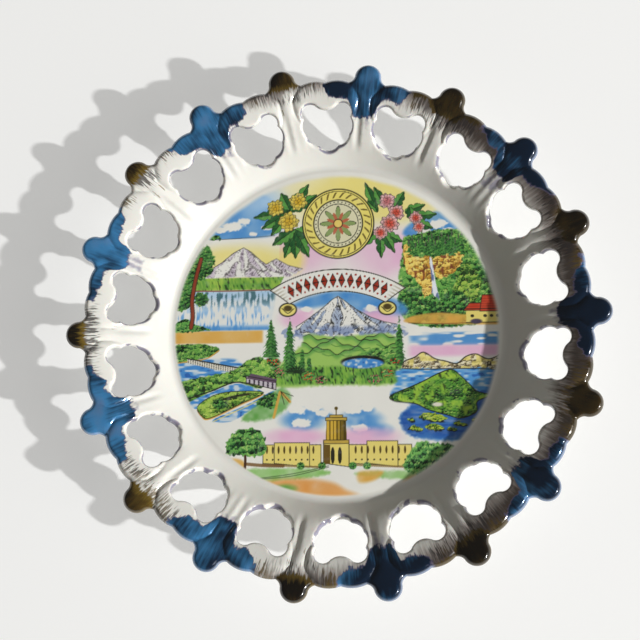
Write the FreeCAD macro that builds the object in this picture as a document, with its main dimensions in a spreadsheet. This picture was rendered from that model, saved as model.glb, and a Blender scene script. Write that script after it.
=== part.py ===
import FreeCAD, Part
import math
import os
import Sketcher

# A souvenir plate of cast porcelain with a pierced, scalloped rim, in millimetres.
# It stands on the XY plane with its axis along +Z. A knob points along +X, and the picture's upper
# edge and the two hanging holes of the foot ring lie towards +Y. The casting is made region by
# region, as floor, curved wall, foot ring, ribs, arches and knobs, which meet face to face.

DRIVING = {
    "knob_count": 18,
    "knob_tip_radius": 105.2,
    "knob_half_width": 5.3,
    "knob_base_radius": 97.5,
    "knob_flare_half_width": 7.4,
    "knob_flare_bend": 3.4,
    "scallop_dip_radius": 97.8,
    "scallop_bulge": 12.5,
    "wall_thickness": 3.5,
    "rib_rise": 0.7,
    "foot_height": 4.0,
    "foot_outer_radius": 58.0,
    "foot_base_width": 3.2,
    "foot_draft": 0.5,
    "hang_hole_radius": 1.1,
    "hang_hole_height": 2.2,
    "hang_hole_offset": 9.0,
    "floor_radius": 66.0,
    "wall_curve_radius": 4.0,
    "wall_angle": 42.0,
    "wall_straight": 4.0,
    "rim_curve_radius": 55.2,
    "rim_start_radius": 76.0,
    "picture_radius": 65.8,
    "picture_film": 0.15,
    "ear_reach": 86.4,
    "tongue_corner": 88.9,
    "tongue_half_width": 4.6,
    "tongue_radius": 6.5,
    "ear_corner": 84.0,
    "ear_half_width": 9.2,
    "ear_radius": 3.42,
    "flank_corner": 78.0,
    "flank_half_width": 8.5,
    "flank_radius": 4.7,
    "inner_corner": 74.3,
    "inner_half_width": 3.8,
    "inner_side_radius": 5.0,
    "inner_radius": 5.1,
}


class Size:
    """A length or angle that keeps both its number and its formula in terms of the sheet's cells."""

    def __init__(self, value, formula):
        self.value = float(value)
        self.formula = formula

    @staticmethod
    def of(x):
        return x if isinstance(x, Size) else Size(x, repr(float(x)))

    def __add__(self, other):
        other = Size.of(other)
        return Size(self.value + other.value, f"({self.formula} + {other.formula})")

    def __sub__(self, other):
        other = Size.of(other)
        return Size(self.value - other.value, f"({self.formula} - {other.formula})")

    def __mul__(self, other):
        other = Size.of(other)
        return Size(self.value * other.value, f"({self.formula} * {other.formula})")

    def __truediv__(self, other):
        other = Size.of(other)
        return Size(self.value / other.value, f"({self.formula} / {other.formula})")

    def __neg__(self):
        return Size(-self.value, f"(-1 * {self.formula})")


def sine(angle):
    return Size(math.sin(math.radians(angle.value)), f"sin({angle.formula})")


def cosine(angle):
    return Size(math.cos(math.radians(angle.value)), f"cos({angle.formula})")


def root(area):
    return Size(math.sqrt(area.value), f"sqrt({area.formula})")


def make_sheet(doc):
    """The spreadsheet of driving dimensions, and the same sizes by name."""
    sheet = doc.addObject("Spreadsheet::Sheet", "dims")
    for row, (alias, value) in enumerate(DRIVING.items(), start=1):
        sheet.set(f"A{row}", alias)
        sheet.set(f"B{row}", str(value))
        sheet.setAlias(f"B{row}", alias)
    doc.recompute()
    return {alias: Size(value, f"dims.{alias}") for alias, value in DRIVING.items()}


def origin_plane(body, role):
    return next(f for f in body.Origin.OriginFeatures if f.Role == role)


def new_sketch(body, name, role):
    sketch = body.newObject("Sketcher::SketchObject", name)
    sketch.AttachmentSupport = [(origin_plane(body, role), "")]
    sketch.MapMode = "FlatFace"
    return sketch


def bind(sketch, constraint, formula):
    """Adds a constraint and ties its value to a formula of the sheet."""
    index = sketch.addConstraint(constraint)
    sketch.setExpression(f"Constraints[{index}]", formula)


def pin(sketch, edge, point, x, y):
    """Holds a point of a sketch edge at x, y, measured from the sketch's origin."""
    for kind, axis, size in (("DistanceX", -2, Size.of(x)), ("DistanceY", -1, Size.of(y))):
        if abs(size.value) < 1e-9:
            sketch.addConstraint(Sketcher.Constraint("PointOnObject", edge, point, axis))
        elif size.value > 0:
            bind(sketch, Sketcher.Constraint(kind, -1, 1, edge, point, size.value), size.formula)
        else:
            ends = Sketcher.Constraint(kind, edge, point, -1, 1, -size.value)
            bind(sketch, ends, (-size).formula)


def arc_between(start, end, radius, left):
    """The circular arc from start to end whose centre lies on its left or right hand."""
    dx, dy = end[0] - start[0], end[1] - start[1]
    half = math.hypot(dx, dy) / 2
    reach = math.sqrt(max(radius * radius - half * half, 0.0))
    side = 1 if left else -1
    cx = (start[0] + end[0]) / 2 - side * reach * dy / (2 * half)
    cy = (start[1] + end[1]) / 2 + side * reach * dx / (2 * half)
    first = math.atan2(start[1] - cy, start[0] - cx)
    last = math.atan2(end[1] - cy, end[0] - cx)
    if not left:
        first, last = last, first
    circle = Part.Circle(FreeCAD.Vector(cx, cy, 0), FreeCAD.Vector(0, 0, 1), radius)
    return Part.ArcOfCircle(circle, first, last)


def draw_outline(sketch, steps):
    """A closed outline. A step is (x, y) for a straight edge to the next corner, or
    (x, y, radius, left) for an arc to it whose centre is on the left or right hand."""
    corners = [(Size.of(s[0]), Size.of(s[1])) for s in steps]
    ends = []
    for i, step in enumerate(steps):
        start = tuple(c.value for c in corners[i])
        end = tuple(c.value for c in corners[(i + 1) % len(steps)])
        if len(step) == 2:
            vectors = [FreeCAD.Vector(*p, 0) for p in (start, end)]
            edge = sketch.addGeometry(Part.LineSegment(*vectors), False)
            ends.append((edge, 1, 2))
        else:
            radius = Size.of(step[2])
            arc = arc_between(start, end, radius.value, step[3])
            edge = sketch.addGeometry(arc, False)
            ends.append((edge, 1, 2) if step[3] else (edge, 2, 1))
    for i, (edge, first, last) in enumerate(ends):
        after, after_first, _ = ends[(i + 1) % len(ends)]
        sketch.addConstraint(Sketcher.Constraint("Coincident", edge, last, after, after_first))
        pin(sketch, edge, first, *corners[i])
        if len(steps[i]) == 4:
            radius = Size.of(steps[i][2])
            bind(sketch, Sketcher.Constraint("Radius", edge, radius.value), radius.formula)


def new_body(doc, name):
    body = doc.addObject("PartDesign::Body", name)
    body.Label = name
    return body


def revolve(body, name, steps, cut=False):
    """A full turn about the plate's axis, either added or cut away."""
    sketch = new_sketch(body, name + "_profile", "XZ_Plane")
    draw_outline(sketch, steps)
    kind = "PartDesign::Groove" if cut else "PartDesign::Revolution"
    turned = body.newObject(kind, name)
    turned.Profile = sketch
    turned.ReferenceAxis = (sketch, ["V_Axis"])
    turned.Angle = 360
    body.Tip = turned
    return turned


def pad(body, name, steps, height):
    sketch = new_sketch(body, name + "_outline", "XY_Plane")
    draw_outline(sketch, steps)
    made = body.newObject("PartDesign::Pad", name)
    made.Profile = sketch
    made.setExpression("Length", height.formula)
    body.Tip = made
    return made


def ring_pattern(body, name, features, count):
    """Repeats features evenly about the plate's axis."""
    pattern = body.newObject("PartDesign::PolarPattern", name)
    pattern.Originals = features
    pattern.Axis = (features[0].Profile[0], ["N_Axis"])
    pattern.Angle = 360
    pattern.setExpression("Occurrences", count.formula)
    body.Tip = pattern
    return pattern


def surface_levels(d):
    """Key points of the plate's section, from the floor out to the rim's curve."""
    rise, run = sine(d["wall_angle"]), cosine(d["wall_angle"])
    floor_top = d["foot_height"] + d["wall_thickness"]
    bend_radius = d["floor_radius"] + d["wall_curve_radius"] * rise
    bend_height = floor_top + d["wall_curve_radius"] - d["wall_curve_radius"] * run
    joint_radius = bend_radius + d["wall_straight"] * run
    joint_height = bend_height + d["wall_straight"] * rise
    return {
        "floor_top": floor_top,
        "bend_radius": bend_radius,
        "bend_height": bend_height,
        "joint_radius": joint_radius,
        "joint_height": joint_height,
        "rim_axis_radius": joint_radius + d["rim_curve_radius"] * rise,
        "rim_axis_height": joint_height - d["rim_curve_radius"] * run,
    }


def rim_height(d, at, radius, below=0.0):
    """Height of the rim's upper surface at a radius, or of the one that lies below (or above) it."""
    reach = d["rim_curve_radius"] - below
    across = radius - at["rim_axis_radius"]
    return at["rim_axis_height"] + root(reach * reach - across * across)


def make_well_floor(doc, d, at):
    """The flat round floor of the plate."""
    body = new_body(doc, "well_floor")
    revolve(body, "floor_disc", [
        (0, d["foot_height"]),
        (d["floor_radius"], d["foot_height"]),
        (d["floor_radius"], at["floor_top"]),
        (0, at["floor_top"]),
    ])
    return body


def make_curved_wall(doc, d, at):
    """The wall that rises from the floor to the rim, its outer edge notched by the piercings."""
    body = new_body(doc, "curved_wall")
    thick = d["wall_thickness"]
    shift_out, shift_down = thick * sine(d["wall_angle"]), thick * cosine(d["wall_angle"])
    start = d["rim_start_radius"]
    revolve(body, "wall_ring", [
        (d["floor_radius"], d["foot_height"], d["wall_curve_radius"] + thick, True),
        (at["bend_radius"] + shift_out, at["bend_height"] - shift_down),
        (at["joint_radius"] + shift_out, at["joint_height"] - shift_down,
         d["rim_curve_radius"] - thick, False),
        (start, rim_height(d, at, start, thick)),
        (start, rim_height(d, at, start), d["rim_curve_radius"], True),
        (at["joint_radius"], at["joint_height"]),
        (at["bend_radius"], at["bend_height"], d["wall_curve_radius"], False),
        (d["floor_radius"], at["floor_top"]),
    ])
    pierce(body, d)
    return body


def make_foot_ring(doc, d):
    """The ring that the plate stands on, drilled twice for a hanging wire."""
    body = new_body(doc, "foot_ring")
    base = d["foot_outer_radius"]
    revolve(body, "ring", [
        (base - d["foot_base_width"], 0),
        (base, 0),
        (base + d["foot_draft"], d["foot_height"]),
        (base - d["foot_base_width"] - d["foot_draft"], d["foot_height"]),
    ])
    for side, label in ((1, "right"), (-1, "left")):
        sketch = new_sketch(body, f"hang_hole_{label}_circle", "XZ_Plane")
        offset = d["hang_hole_offset"] * side
        centre = FreeCAD.Vector(offset.value, d["hang_hole_height"].value, 0)
        circle = Part.Circle(centre, FreeCAD.Vector(0, 0, 1), d["hang_hole_radius"].value)
        edge = sketch.addGeometry(circle, False)
        pin(sketch, edge, 3, offset, d["hang_hole_height"])
        radius = d["hang_hole_radius"]
        bind(sketch, Sketcher.Constraint("Radius", edge, radius.value), radius.formula)
        hole = body.newObject("PartDesign::Pocket", f"hang_hole_{label}")
        hole.Profile = sketch
        hole.Reversed = False
        hole.setExpression("Length", (base + d["foot_height"]).formula)
        body.Tip = hole
    return body


def make_picture_film(doc, d, at):
    """The fired transfer picture: a thin round film that covers nearly the whole floor."""
    body = new_body(doc, "picture_film")
    revolve(body, "film", [
        (0, at["floor_top"]),
        (d["picture_radius"], at["floor_top"]),
        (d["picture_radius"], at["floor_top"] + d["picture_film"]),
        (0, at["floor_top"] + d["picture_film"]),
    ])
    return body


def turned_point(along, aside, angle):
    """A point given along and beside a ray, with the ray turned by angle from +X."""
    x = along * cosine(angle) - aside * sine(angle)
    y = along * sine(angle) + aside * cosine(angle)
    return x, y


def pierce(body, d):
    """Cuts the ring of piercings, each a chain of round lobes that leaves a tongue at its outer end."""
    names = ("tongue", "ear", "flank", "inner")
    along = [d[name + "_corner"] for name in names]
    aside = [d[name + "_half_width"] for name in names]
    bends = [d["ear_radius"], d["flank_radius"], d["inner_side_radius"]]
    angle = Size.of(180) / d["knob_count"]
    steps = [(*turned_point(along[0], -aside[0], angle), d["tongue_radius"], False)]
    for i in range(3):
        steps.append((*turned_point(along[i], aside[i], angle), bends[i], True))
    steps.append((*turned_point(along[3], aside[3], angle), d["inner_radius"], True))
    for i in (3, 2, 1):
        steps.append((*turned_point(along[i], -aside[i], angle), bends[i - 1], True))
    sketch = new_sketch(body, "piercing_outline", "XY_Plane")
    draw_outline(sketch, steps)
    cut = body.newObject("PartDesign::Pocket", "piercing")
    cut.Profile = sketch
    cut.Type = "ThroughAll"
    cut.Reversed = True
    body.Tip = cut
    ring_pattern(body, "piercings", [cut], d["knob_count"])


def trim_to_rim(body, d, at, proud=0.0):
    """Cuts prisms that stand on the XY plane down to the rim's curved shell, or a little proud of it."""
    thick, proud = d["wall_thickness"], Size.of(proud)
    inner, outer = d["rim_start_radius"] - 4, d["knob_tip_radius"] + 2
    ceiling = rim_height(d, at, outer) + 20
    revolve(body, "above_rim", [
        (inner, rim_height(d, at, inner, -proud)),
        (inner, ceiling),
        (outer, ceiling),
        (outer, rim_height(d, at, outer, -proud), d["rim_curve_radius"] + proud, True),
    ], cut=True)
    revolve(body, "below_rim", [
        (inner, -1),
        (inner, rim_height(d, at, inner, thick), d["rim_curve_radius"] - thick, False),
        (outer, rim_height(d, at, outer, thick)),
        (outer, -1),
    ], cut=True)


def prism_height(d, at):
    return rim_height(d, at, d["knob_tip_radius"]) + 5


def make_ribs(doc, d, at):
    """The ribs between the piercings, each a strip with a spread foot that carries a knob."""
    body = new_body(doc, "rim_ribs")
    half_pitch = Size.of(180) / d["knob_count"]
    foot = d["rim_start_radius"]
    half = d["knob_half_width"]
    step = []
    for side in (-1, 1):
        low = turned_point(foot, Size.of(0), half_pitch * side)
        high = turned_point(d["ear_reach"], Size.of(0), half_pitch * side)
        crease = (d["ear_reach"] * cosine(half_pitch) + half * sine(half_pitch), half * side)
        step.append((low, high, crease))
    (low_a, high_a, crease_a), (low_b, high_b, crease_b) = step
    rib = pad(body, "rib", [
        low_a,
        high_a,
        crease_a,
        (d["knob_base_radius"], -half),
        (d["knob_base_radius"], half),
        crease_b,
        high_b,
        (*low_b, foot, False),
    ], prism_height(d, at))
    ring_pattern(body, "ribs", [rib], d["knob_count"])
    pierce(body, d)
    trim_to_rim(body, d, at, d["rib_rise"])
    return body


def make_arches(doc, d, at):
    """The shell-shaped arches that close the piercings on the outside, with their double scallop."""
    body = new_body(doc, "rim_arches")
    half_pitch = Size.of(180) / d["knob_count"]
    half = d["knob_half_width"]
    rib_a, rib_b = Size.of(0), half_pitch * 2
    inner_along = d["ear_reach"] * cosine(half_pitch) + half * sine(half_pitch)
    outer_along = d["knob_base_radius"]
    middle = turned_point(d["scallop_dip_radius"], Size.of(0), half_pitch)
    flare = d["knob_flare_half_width"]
    arch = pad(body, "arch", [
        turned_point(inner_along, half, rib_a),
        turned_point(outer_along, half, rib_a),
        (*turned_point(outer_along, flare, rib_a), d["scallop_bulge"], True),
        (*middle, d["scallop_bulge"], True),
        turned_point(outer_along, -flare, rib_b),
        turned_point(outer_along, -half, rib_b),
        turned_point(inner_along, -half, rib_b),
    ], prism_height(d, at))
    ring_pattern(body, "arches", [arch], d["knob_count"])
    pierce(body, d)
    trim_to_rim(body, d, at)
    return body


def make_knobs(doc, d, at, name, turn):
    """Every second knob of the rim, rounded at its outer end."""
    body = new_body(doc, name)
    half, base = d["knob_half_width"], d["knob_base_radius"]
    neck = d["knob_tip_radius"] - half
    flare, bend = d["knob_flare_half_width"], d["knob_flare_bend"]
    knob = pad(body, "knob", [
        (*turned_point(base, -flare, turn), bend, False),
        (*turned_point(neck, -half, turn), half, True),
        (*turned_point(d["knob_tip_radius"], Size.of(0), turn), half, True),
        (*turned_point(neck, half, turn), bend, False),
        turned_point(base, flare, turn),
    ], prism_height(d, at))
    ring_pattern(body, "knobs", [knob], d["knob_count"] / 2)
    trim_to_rim(body, d, at, d["rib_rise"])
    return body


def check(doc, nodes):
    """Stops if any object failed to build or any node isn't made of valid closed solids."""
    for item in doc.Objects:
        if {"Invalid", "Error"} & set(item.State):
            raise RuntimeError(f"{item.Name} did not build: {item.State}")
    for node in nodes:
        shape = node.Shape
        if shape.isNull() or not shape.isValid() or not shape.Solids:
            raise RuntimeError(f"{node.Label} has no valid solid")
        print(node.Label, len(shape.Solids), "solids", round(shape.Volume / 1000, 2), "cm3")


def main():
    doc = FreeCAD.newDocument("souvenir_plate")
    d = make_sheet(doc)
    at = surface_levels(d)
    nodes = [
        make_well_floor(doc, d, at),
        make_curved_wall(doc, d, at),
        make_foot_ring(doc, d),
        make_picture_film(doc, d, at),
        make_ribs(doc, d, at),
        make_arches(doc, d, at),
        make_knobs(doc, d, at, "blue_knobs", Size.of(0)),
        make_knobs(doc, d, at, "brown_knobs", Size.of(360) / d["knob_count"]),
    ]
    doc.recompute()
    check(doc, nodes)
    os.makedirs("parts", exist_ok=True)
    for node in nodes:
        node.Shape.exportStep(f"parts/{node.Label}.step")


main()
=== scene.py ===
import math

import bpy
import numpy as np
from mathutils import Matrix, Vector
from mathutils.geometry import delaunay_2d_cdt


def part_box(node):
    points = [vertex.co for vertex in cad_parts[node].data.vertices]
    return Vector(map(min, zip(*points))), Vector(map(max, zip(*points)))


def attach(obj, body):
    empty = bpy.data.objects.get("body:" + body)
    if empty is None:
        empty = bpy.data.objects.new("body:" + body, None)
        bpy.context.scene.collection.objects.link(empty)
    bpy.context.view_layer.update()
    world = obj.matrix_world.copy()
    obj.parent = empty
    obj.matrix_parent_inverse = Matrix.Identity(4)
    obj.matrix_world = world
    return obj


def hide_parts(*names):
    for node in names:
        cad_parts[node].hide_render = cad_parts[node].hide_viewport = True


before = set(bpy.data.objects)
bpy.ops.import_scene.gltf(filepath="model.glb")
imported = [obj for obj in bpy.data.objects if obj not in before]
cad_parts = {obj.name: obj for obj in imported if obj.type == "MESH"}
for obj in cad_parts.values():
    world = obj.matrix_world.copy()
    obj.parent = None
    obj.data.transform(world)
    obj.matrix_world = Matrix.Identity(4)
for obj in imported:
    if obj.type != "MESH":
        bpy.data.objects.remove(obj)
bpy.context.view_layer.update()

# A pierced porcelain souvenir plate. Lengths in this file are millimetres in the row frame, and
# MM turns them into Blender's metres. Places come from the CAD nodes' boxes where those give them.
MM = 0.001

KNOBS = 18
PITCH = 2 * math.pi / KNOBS
HALF_PITCH = PITCH / 2
TIP_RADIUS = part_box("blue_knobs")[1].x / MM
FLOOR_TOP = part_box("well_floor")[1].z / MM
FLOOR_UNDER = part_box("well_floor")[0].z / MM
FLOOR_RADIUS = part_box("well_floor")[1].x / MM
PICTURE_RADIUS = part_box("picture_film")[1].x / MM
PICTURE_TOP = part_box("picture_film")[1].z / MM
WALL = FLOOR_TOP - FLOOR_UNDER
WALL_CURVE = 4.0
WALL_ANGLE = math.radians(42.0)
WALL_STRAIGHT = 4.0
RIM_CURVE = 55.2
KNOB_HALF_WIDTH = 5.3
KNOB_BASE = 97.5
KNOB_FLARE = 7.4
KNOB_FLARE_BEND = 3.4
SCALLOP_DIP = 97.8
SCALLOP_BULGE = 12.5
# The corners of a piercing, along its ray and beside it, and the bend of the arc that follows each.
TONGUE = (88.9, 4.6, 6.5)
EAR = (84.0, 9.2, 3.42)
FLANK = (78.0, 8.5, 4.7)
INNER = (74.3, 3.8, 5.0)
INNER_BEND = 5.1
EDGE_LIP = 1.75
HOLE_LIP = 0.9
MESH_STEP = 0.7
CURVE_ROWS = np.arange(0.4, 3.7, 0.4)
FLOOR_RINGS = 12
# How far the moulding shows through on the under side, as a share, and the deepest flute beside a rib.
UNDER_RELIEF = 0.35
DEEPEST_FLUTE = 0.75
# How far the middle of the floor counts as being from any edge, and from any ray sideways.
FAR, ASIDE = 40.0, 8.0
PICTURE_POINTS = 480
# The visible transfer laps this far up the wall, and its picture lies this far below the middle.
PICTURE_LAP = 0.6
PICTURE_DROP = 2.2
EDGE_THICKNESS = 0.02
INK_CONTRAST = 1.18

# The camera and the picture are both turned by VIEW_TURN. The camera is tilted from upright by VIEW_TILT,
# towards VIEW_AZIMUTH, which is measured from -Y towards +X.
VIEW_TURN = math.radians(-1.68)
VIEW_AZIMUTH, VIEW_TILT = math.radians(31.0), math.radians(11.59)
VIEW_DISTANCE = 396.1
VIEW_TARGET = (-5.94, 3.26, 12.0)


# ---------------------------------------------------------------- outlines

def turned(points, angle):
    """Points turned about the plate's axis."""
    points = np.asarray(points, float)
    c, s = math.cos(angle), math.sin(angle)
    return points @ np.array([[c, s], [-s, c]])


def arc_points(start, end, radius, left, step):
    """Points from start up to, but not with, end on an arc whose centre is on the left or right."""
    start, end = np.array(start, float), np.array(end, float)
    chord = end - start
    half = np.linalg.norm(chord) / 2
    side = 1 if left else -1
    normal = np.array([-chord[1], chord[0]]) / (2 * half) * side
    centre = (start + end) / 2 + normal * math.sqrt(max(radius ** 2 - half ** 2, 0))
    sweep = 2 * math.asin(min(1.0, half / radius)) * side
    first = math.atan2(*(start - centre)[::-1])
    count = max(2, int(round(abs(sweep) * radius / step)))
    angles = first + sweep * np.arange(count) / count
    return centre + radius * np.stack([np.cos(angles), np.sin(angles)], 1)


def piercing_outline(step):
    """One piercing on the ray along +X: a chain of round lobes, with a tongue at its outer end."""
    corners = [TONGUE, EAR, FLANK, INNER]
    runs = [((TONGUE[0], -TONGUE[1]), (TONGUE[0], TONGUE[1]), TONGUE[2], False)]
    bends = [EAR[2], FLANK[2], INNER[2]]
    for a, b, bend in zip(corners, corners[1:], bends):
        runs.append(((a[0], a[1]), (b[0], b[1]), bend, True))
    runs.append(((INNER[0], INNER[1]), (INNER[0], -INNER[1]), INNER_BEND, True))
    for a, b, bend in zip(corners[::-1], corners[-2::-1], bends[::-1]):
        runs.append(((a[0], -a[1]), (b[0], -b[1]), bend, True))
    return np.concatenate([arc_points(*run, step) for run in runs])


def outer_outline(step):
    """The rim's outer edge from the middle of one knob to the middle of the next, about +X."""
    neck = (TIP_RADIUS - KNOB_HALF_WIDTH, KNOB_HALF_WIDTH)
    tip, neck, notch = turned([(TIP_RADIUS, 0), neck, (KNOB_BASE, KNOB_FLARE)], -HALF_PITCH)
    half = np.concatenate([
        arc_points(tip, neck, KNOB_HALF_WIDTH, True, step),
        arc_points(neck, notch, KNOB_FLARE_BEND, False, step),
        arc_points(notch, (SCALLOP_DIP, 0), SCALLOP_BULGE, True, step),
    ])
    return np.concatenate([half, [(SCALLOP_DIP, 0)], half[::-1] * [1, -1]])


def distance_to(points, line, closed=False):
    """Distance of each point from a polyline."""
    a = line if closed else line[:-1]
    b = np.roll(line, -1, 0) if closed else line[1:]
    span = b - a
    length2 = np.maximum((span ** 2).sum(1), 1e-12)
    best = np.full(len(points), 1e9)
    for lo in range(0, len(points), 4000):
        p = points[lo:lo + 4000, None]
        along = np.clip(((p - a) * span).sum(2) / length2, 0, 1)
        gap = np.linalg.norm(p - a - along[..., None] * span, axis=2)
        best[lo:lo + 4000] = gap.min(1)
    return best


def inside(points, polygon):
    """Whether each point lies in a closed polygon."""
    x, y = points[:, 0, None], points[:, 1, None]
    x0, y0 = polygon[:, 0], polygon[:, 1]
    x1, y1 = np.roll(x0, -1), np.roll(y0, -1)
    crosses = (y0 > y) != (y1 > y)
    rise = np.where(y1 == y0, 1e-12, y1 - y0)
    return (crosses & (x < x0 + (y - y0) * (x1 - x0) / rise)).sum(1) % 2 == 1


def offset_rows(line, depths, closed, flip):
    """Points in rows beside an outline, at several depths from it."""
    if closed:
        tangent = np.roll(line, -1, 0) - np.roll(line, 1, 0)
    else:
        tangent = np.gradient(line, axis=0)
    tangent /= np.linalg.norm(tangent, axis=1)[:, None]
    normal = np.stack([-tangent[:, 1], tangent[:, 0]], 1) * flip
    rows = []
    for depth in depths:
        row = line + normal * depth
        rows.append(row[distance_to(row, line, closed) > depth * 0.97])
    return np.concatenate(rows)


# ---------------------------------------------------------------- the casting's surface

def smooth(lo, hi, x):
    """0 below lo, 1 above hi, and a smooth step between."""
    f = np.clip((x - lo) / (hi - lo), 0, 1)
    return f * f * (3 - 2 * f)


def section(r):
    """Height and slope angle of the plain upper surface at radius r."""
    sine, cosine = math.sin(WALL_ANGLE), math.cos(WALL_ANGLE)
    bend_r, bend_z = FLOOR_RADIUS + WALL_CURVE * sine, FLOOR_TOP + WALL_CURVE * (1 - cosine)
    joint_r, joint_z = bend_r + WALL_STRAIGHT * cosine, bend_z + WALL_STRAIGHT * sine
    axis_r, axis_z = joint_r + RIM_CURVE * sine, joint_z - RIM_CURVE * cosine
    curve = np.clip(r - FLOOR_RADIUS, 0, WALL_CURVE * sine)
    rim = np.clip(axis_r - r, -RIM_CURVE, RIM_CURVE)
    parts = [r < FLOOR_RADIUS, r < bend_r, r < joint_r]
    heights = [
        np.full_like(r, FLOOR_TOP),
        FLOOR_TOP + WALL_CURVE - np.sqrt(WALL_CURVE ** 2 - curve ** 2),
        bend_z + (r - bend_r) * math.tan(WALL_ANGLE),
    ]
    slopes = [np.zeros_like(r), np.arcsin(curve / WALL_CURVE), np.full_like(r, WALL_ANGLE)]
    z = np.select(parts, heights, axis_z + np.sqrt(RIM_CURVE ** 2 - rim ** 2))
    slope = np.select(parts, slopes, np.arcsin(rim / RIM_CURVE))
    return z, slope


def knob_frame(p):
    """Distance along the nearest knob's axis and beside it, for points about the ray along +X."""
    beside = np.abs(p[:, 1])
    c, s = math.cos(HALF_PITCH), math.sin(HALF_PITCH)
    return p[:, 0] * c + beside * s, p[:, 0] * s - beside * c


def crease_width(a):
    """Half the width of the moulded ridge, which opens out of a rib's foot and into its knob."""
    return 2.5 + 2.3 * smooth(88.5, 79, a) + 4.6 * smooth(91.0, 98.5, a)


def relief(p):
    """How far the moulding stands out from the plain surface."""
    a, s = knob_frame(p)
    width = crease_width(a)
    t = np.clip(s / width, 0, 1)
    ridge_height = 0.4 + 0.7 * smooth(83, 91, a) + 0.3 * smooth(97, 102, a)
    ridge = ridge_height * (np.sqrt(np.clip(1 - t ** 2, 0, 1) + 0.04) - 0.2)
    reach = np.maximum(s - width, 0)
    panel_height = 0.1 + 1.1 * smooth(81, 88, a)
    panel = panel_height * (1 - np.exp(-reach / 1.2))
    fold = -0.3 * smooth(93, 97.5, p[:, 0]) * np.exp(-(p[:, 1] / 1.6) ** 2)
    return np.where(s < width, ridge, panel) * smooth(72, 77, a) + fold


def flute(p):
    """The groove pressed beside each rib's ridge, as a depth of 1 at its deepest."""
    a, s = knob_frame(p)
    return np.exp(-((s - 1.8) / 1.3) ** 2) * smooth(72, 78, a) * smooth(91, 84, a)


def sector_points():
    """The flat points of one eighteenth of the plate beyond its floor, its edges and its rims."""
    hole = piercing_outline(0.5)
    edge = outer_outline(0.5)
    spread = np.array([0.035, 0.17, 0.42, 0.72, 1.05])
    hole_rows, edge_rows = HOLE_LIP * spread, EDGE_LIP * spread
    curve_radii = FLOOR_RADIUS + CURVE_ROWS
    ray = TIP_RADIUS - np.concatenate([[0], edge_rows, np.arange(
        edge_rows[-1] + 0.55, TIP_RADIUS - curve_radii[-1] - 0.3, MESH_STEP)])
    ray = np.concatenate([ray, curve_radii[::-1], [FLOOR_RADIUS]])
    lower = turned(np.stack([ray, 0 * ray], 1), -HALF_PITCH)
    upper = lower * [1, -1]
    angles = np.linspace(-HALF_PITCH, HALF_PITCH, 41)[1:-1]
    floor_arc = FLOOR_RADIUS * np.stack([np.cos(angles), np.sin(angles)], 1)
    curve = np.concatenate([floor_arc * (r / FLOOR_RADIUS) for r in curve_radii])

    rows = np.concatenate([
        offset_rows(hole, hole_rows, True, -1),
        offset_rows(edge[1:-1], edge_rows, False, 1),
    ])
    width = crease_width(np.arange(79, 100.5, 0.5))
    crease = []
    for shift in (-0.4, 0.0, 0.4):
        line = turned(np.stack([np.arange(79, 100.5, 0.5), width + shift], 1), -HALF_PITCH)
        crease += [line, line * [1, -1]]
    crease = np.concatenate(crease)
    xs = np.arange(62, 107, MESH_STEP)
    ys = np.arange(-20, 20, MESH_STEP * 0.87)
    grid = np.stack(np.meshgrid(xs, ys), -1)
    grid[1::2, :, 0] += MESH_STEP / 2
    grid = grid.reshape(-1, 2)

    domain = np.concatenate([edge[:-1], upper, floor_arc[::-1], lower[::-1][:-1]])
    grid = grid[np.linalg.norm(grid, axis=1) > curve_radii[-1] + 0.35]
    free = np.concatenate([rows, crease, curve, grid])
    fixed = len(crease) + len(curve)
    rank = np.concatenate([np.zeros(len(rows)), np.ones(fixed), np.full(len(grid), 2)])
    keep = inside(free, domain) & ~inside(free, hole)
    to_ray = np.abs(free[:, 0] * math.sin(HALF_PITCH) - np.abs(free[:, 1]) * math.cos(HALF_PITCH))
    keep &= to_ray > MESH_STEP * 0.45
    clear = np.minimum(distance_to(free, hole, True) - hole_rows[-1],
                       distance_to(free, edge) - edge_rows[-1])
    keep &= (rank == 0) | (clear > 0.3)
    free, rank = free[keep], rank[keep]
    near = distance_to_points(free[rank == 2], free[rank == 1]) > 0.42
    free = np.concatenate([free[rank < 2], free[rank == 2][near]])
    return hole, edge, upper, lower, floor_arc, free


def distance_to_points(points, others):
    """Distance of each point from the nearest of the others."""
    return np.array([np.min(np.sum((others - p) ** 2, 1)) for p in points]) ** 0.5


def build_sector():
    """Points and triangles of one sector, with the rows that it shares with its neighbours."""
    hole, edge, upper, lower, floor_arc, free = sector_points()
    loops = [edge[1:-1], upper, floor_arc[::-1], lower[::-1]]
    border = np.concatenate(loops)
    points = np.concatenate([border, hole, free])
    b, h = len(border), len(hole)
    constraints = [(i, (i + 1) % b) for i in range(b)]
    constraints += [(b + i, b + (i + 1) % h) for i in range(h)]
    made = delaunay_2d_cdt([Vector(p) for p in points], constraints, [], 0, 1e-7)
    flat = np.array([tuple(v) for v in made[0]])
    if len(flat) != len(points):
        raise RuntimeError("two points of a sector fell together")
    triangles = np.array(made[2])
    middles = flat[triangles].mean(1)
    triangles = triangles[inside(middles, border) & ~inside(middles, hole)]
    e, u, f = len(loops[0]), len(upper), len(floor_arc)
    marks = {
        "outline": np.concatenate([np.arange(e), [e], [e + u + f + u - 1], np.arange(b, b + h)]),
        "upper": np.arange(e, e + u),
        "floor": np.arange(e + u, e + u + f)[::-1],
        "lower": np.arange(e + u + f, b)[::-1],
    }
    return flat, triangles, marks, hole, edge


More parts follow.
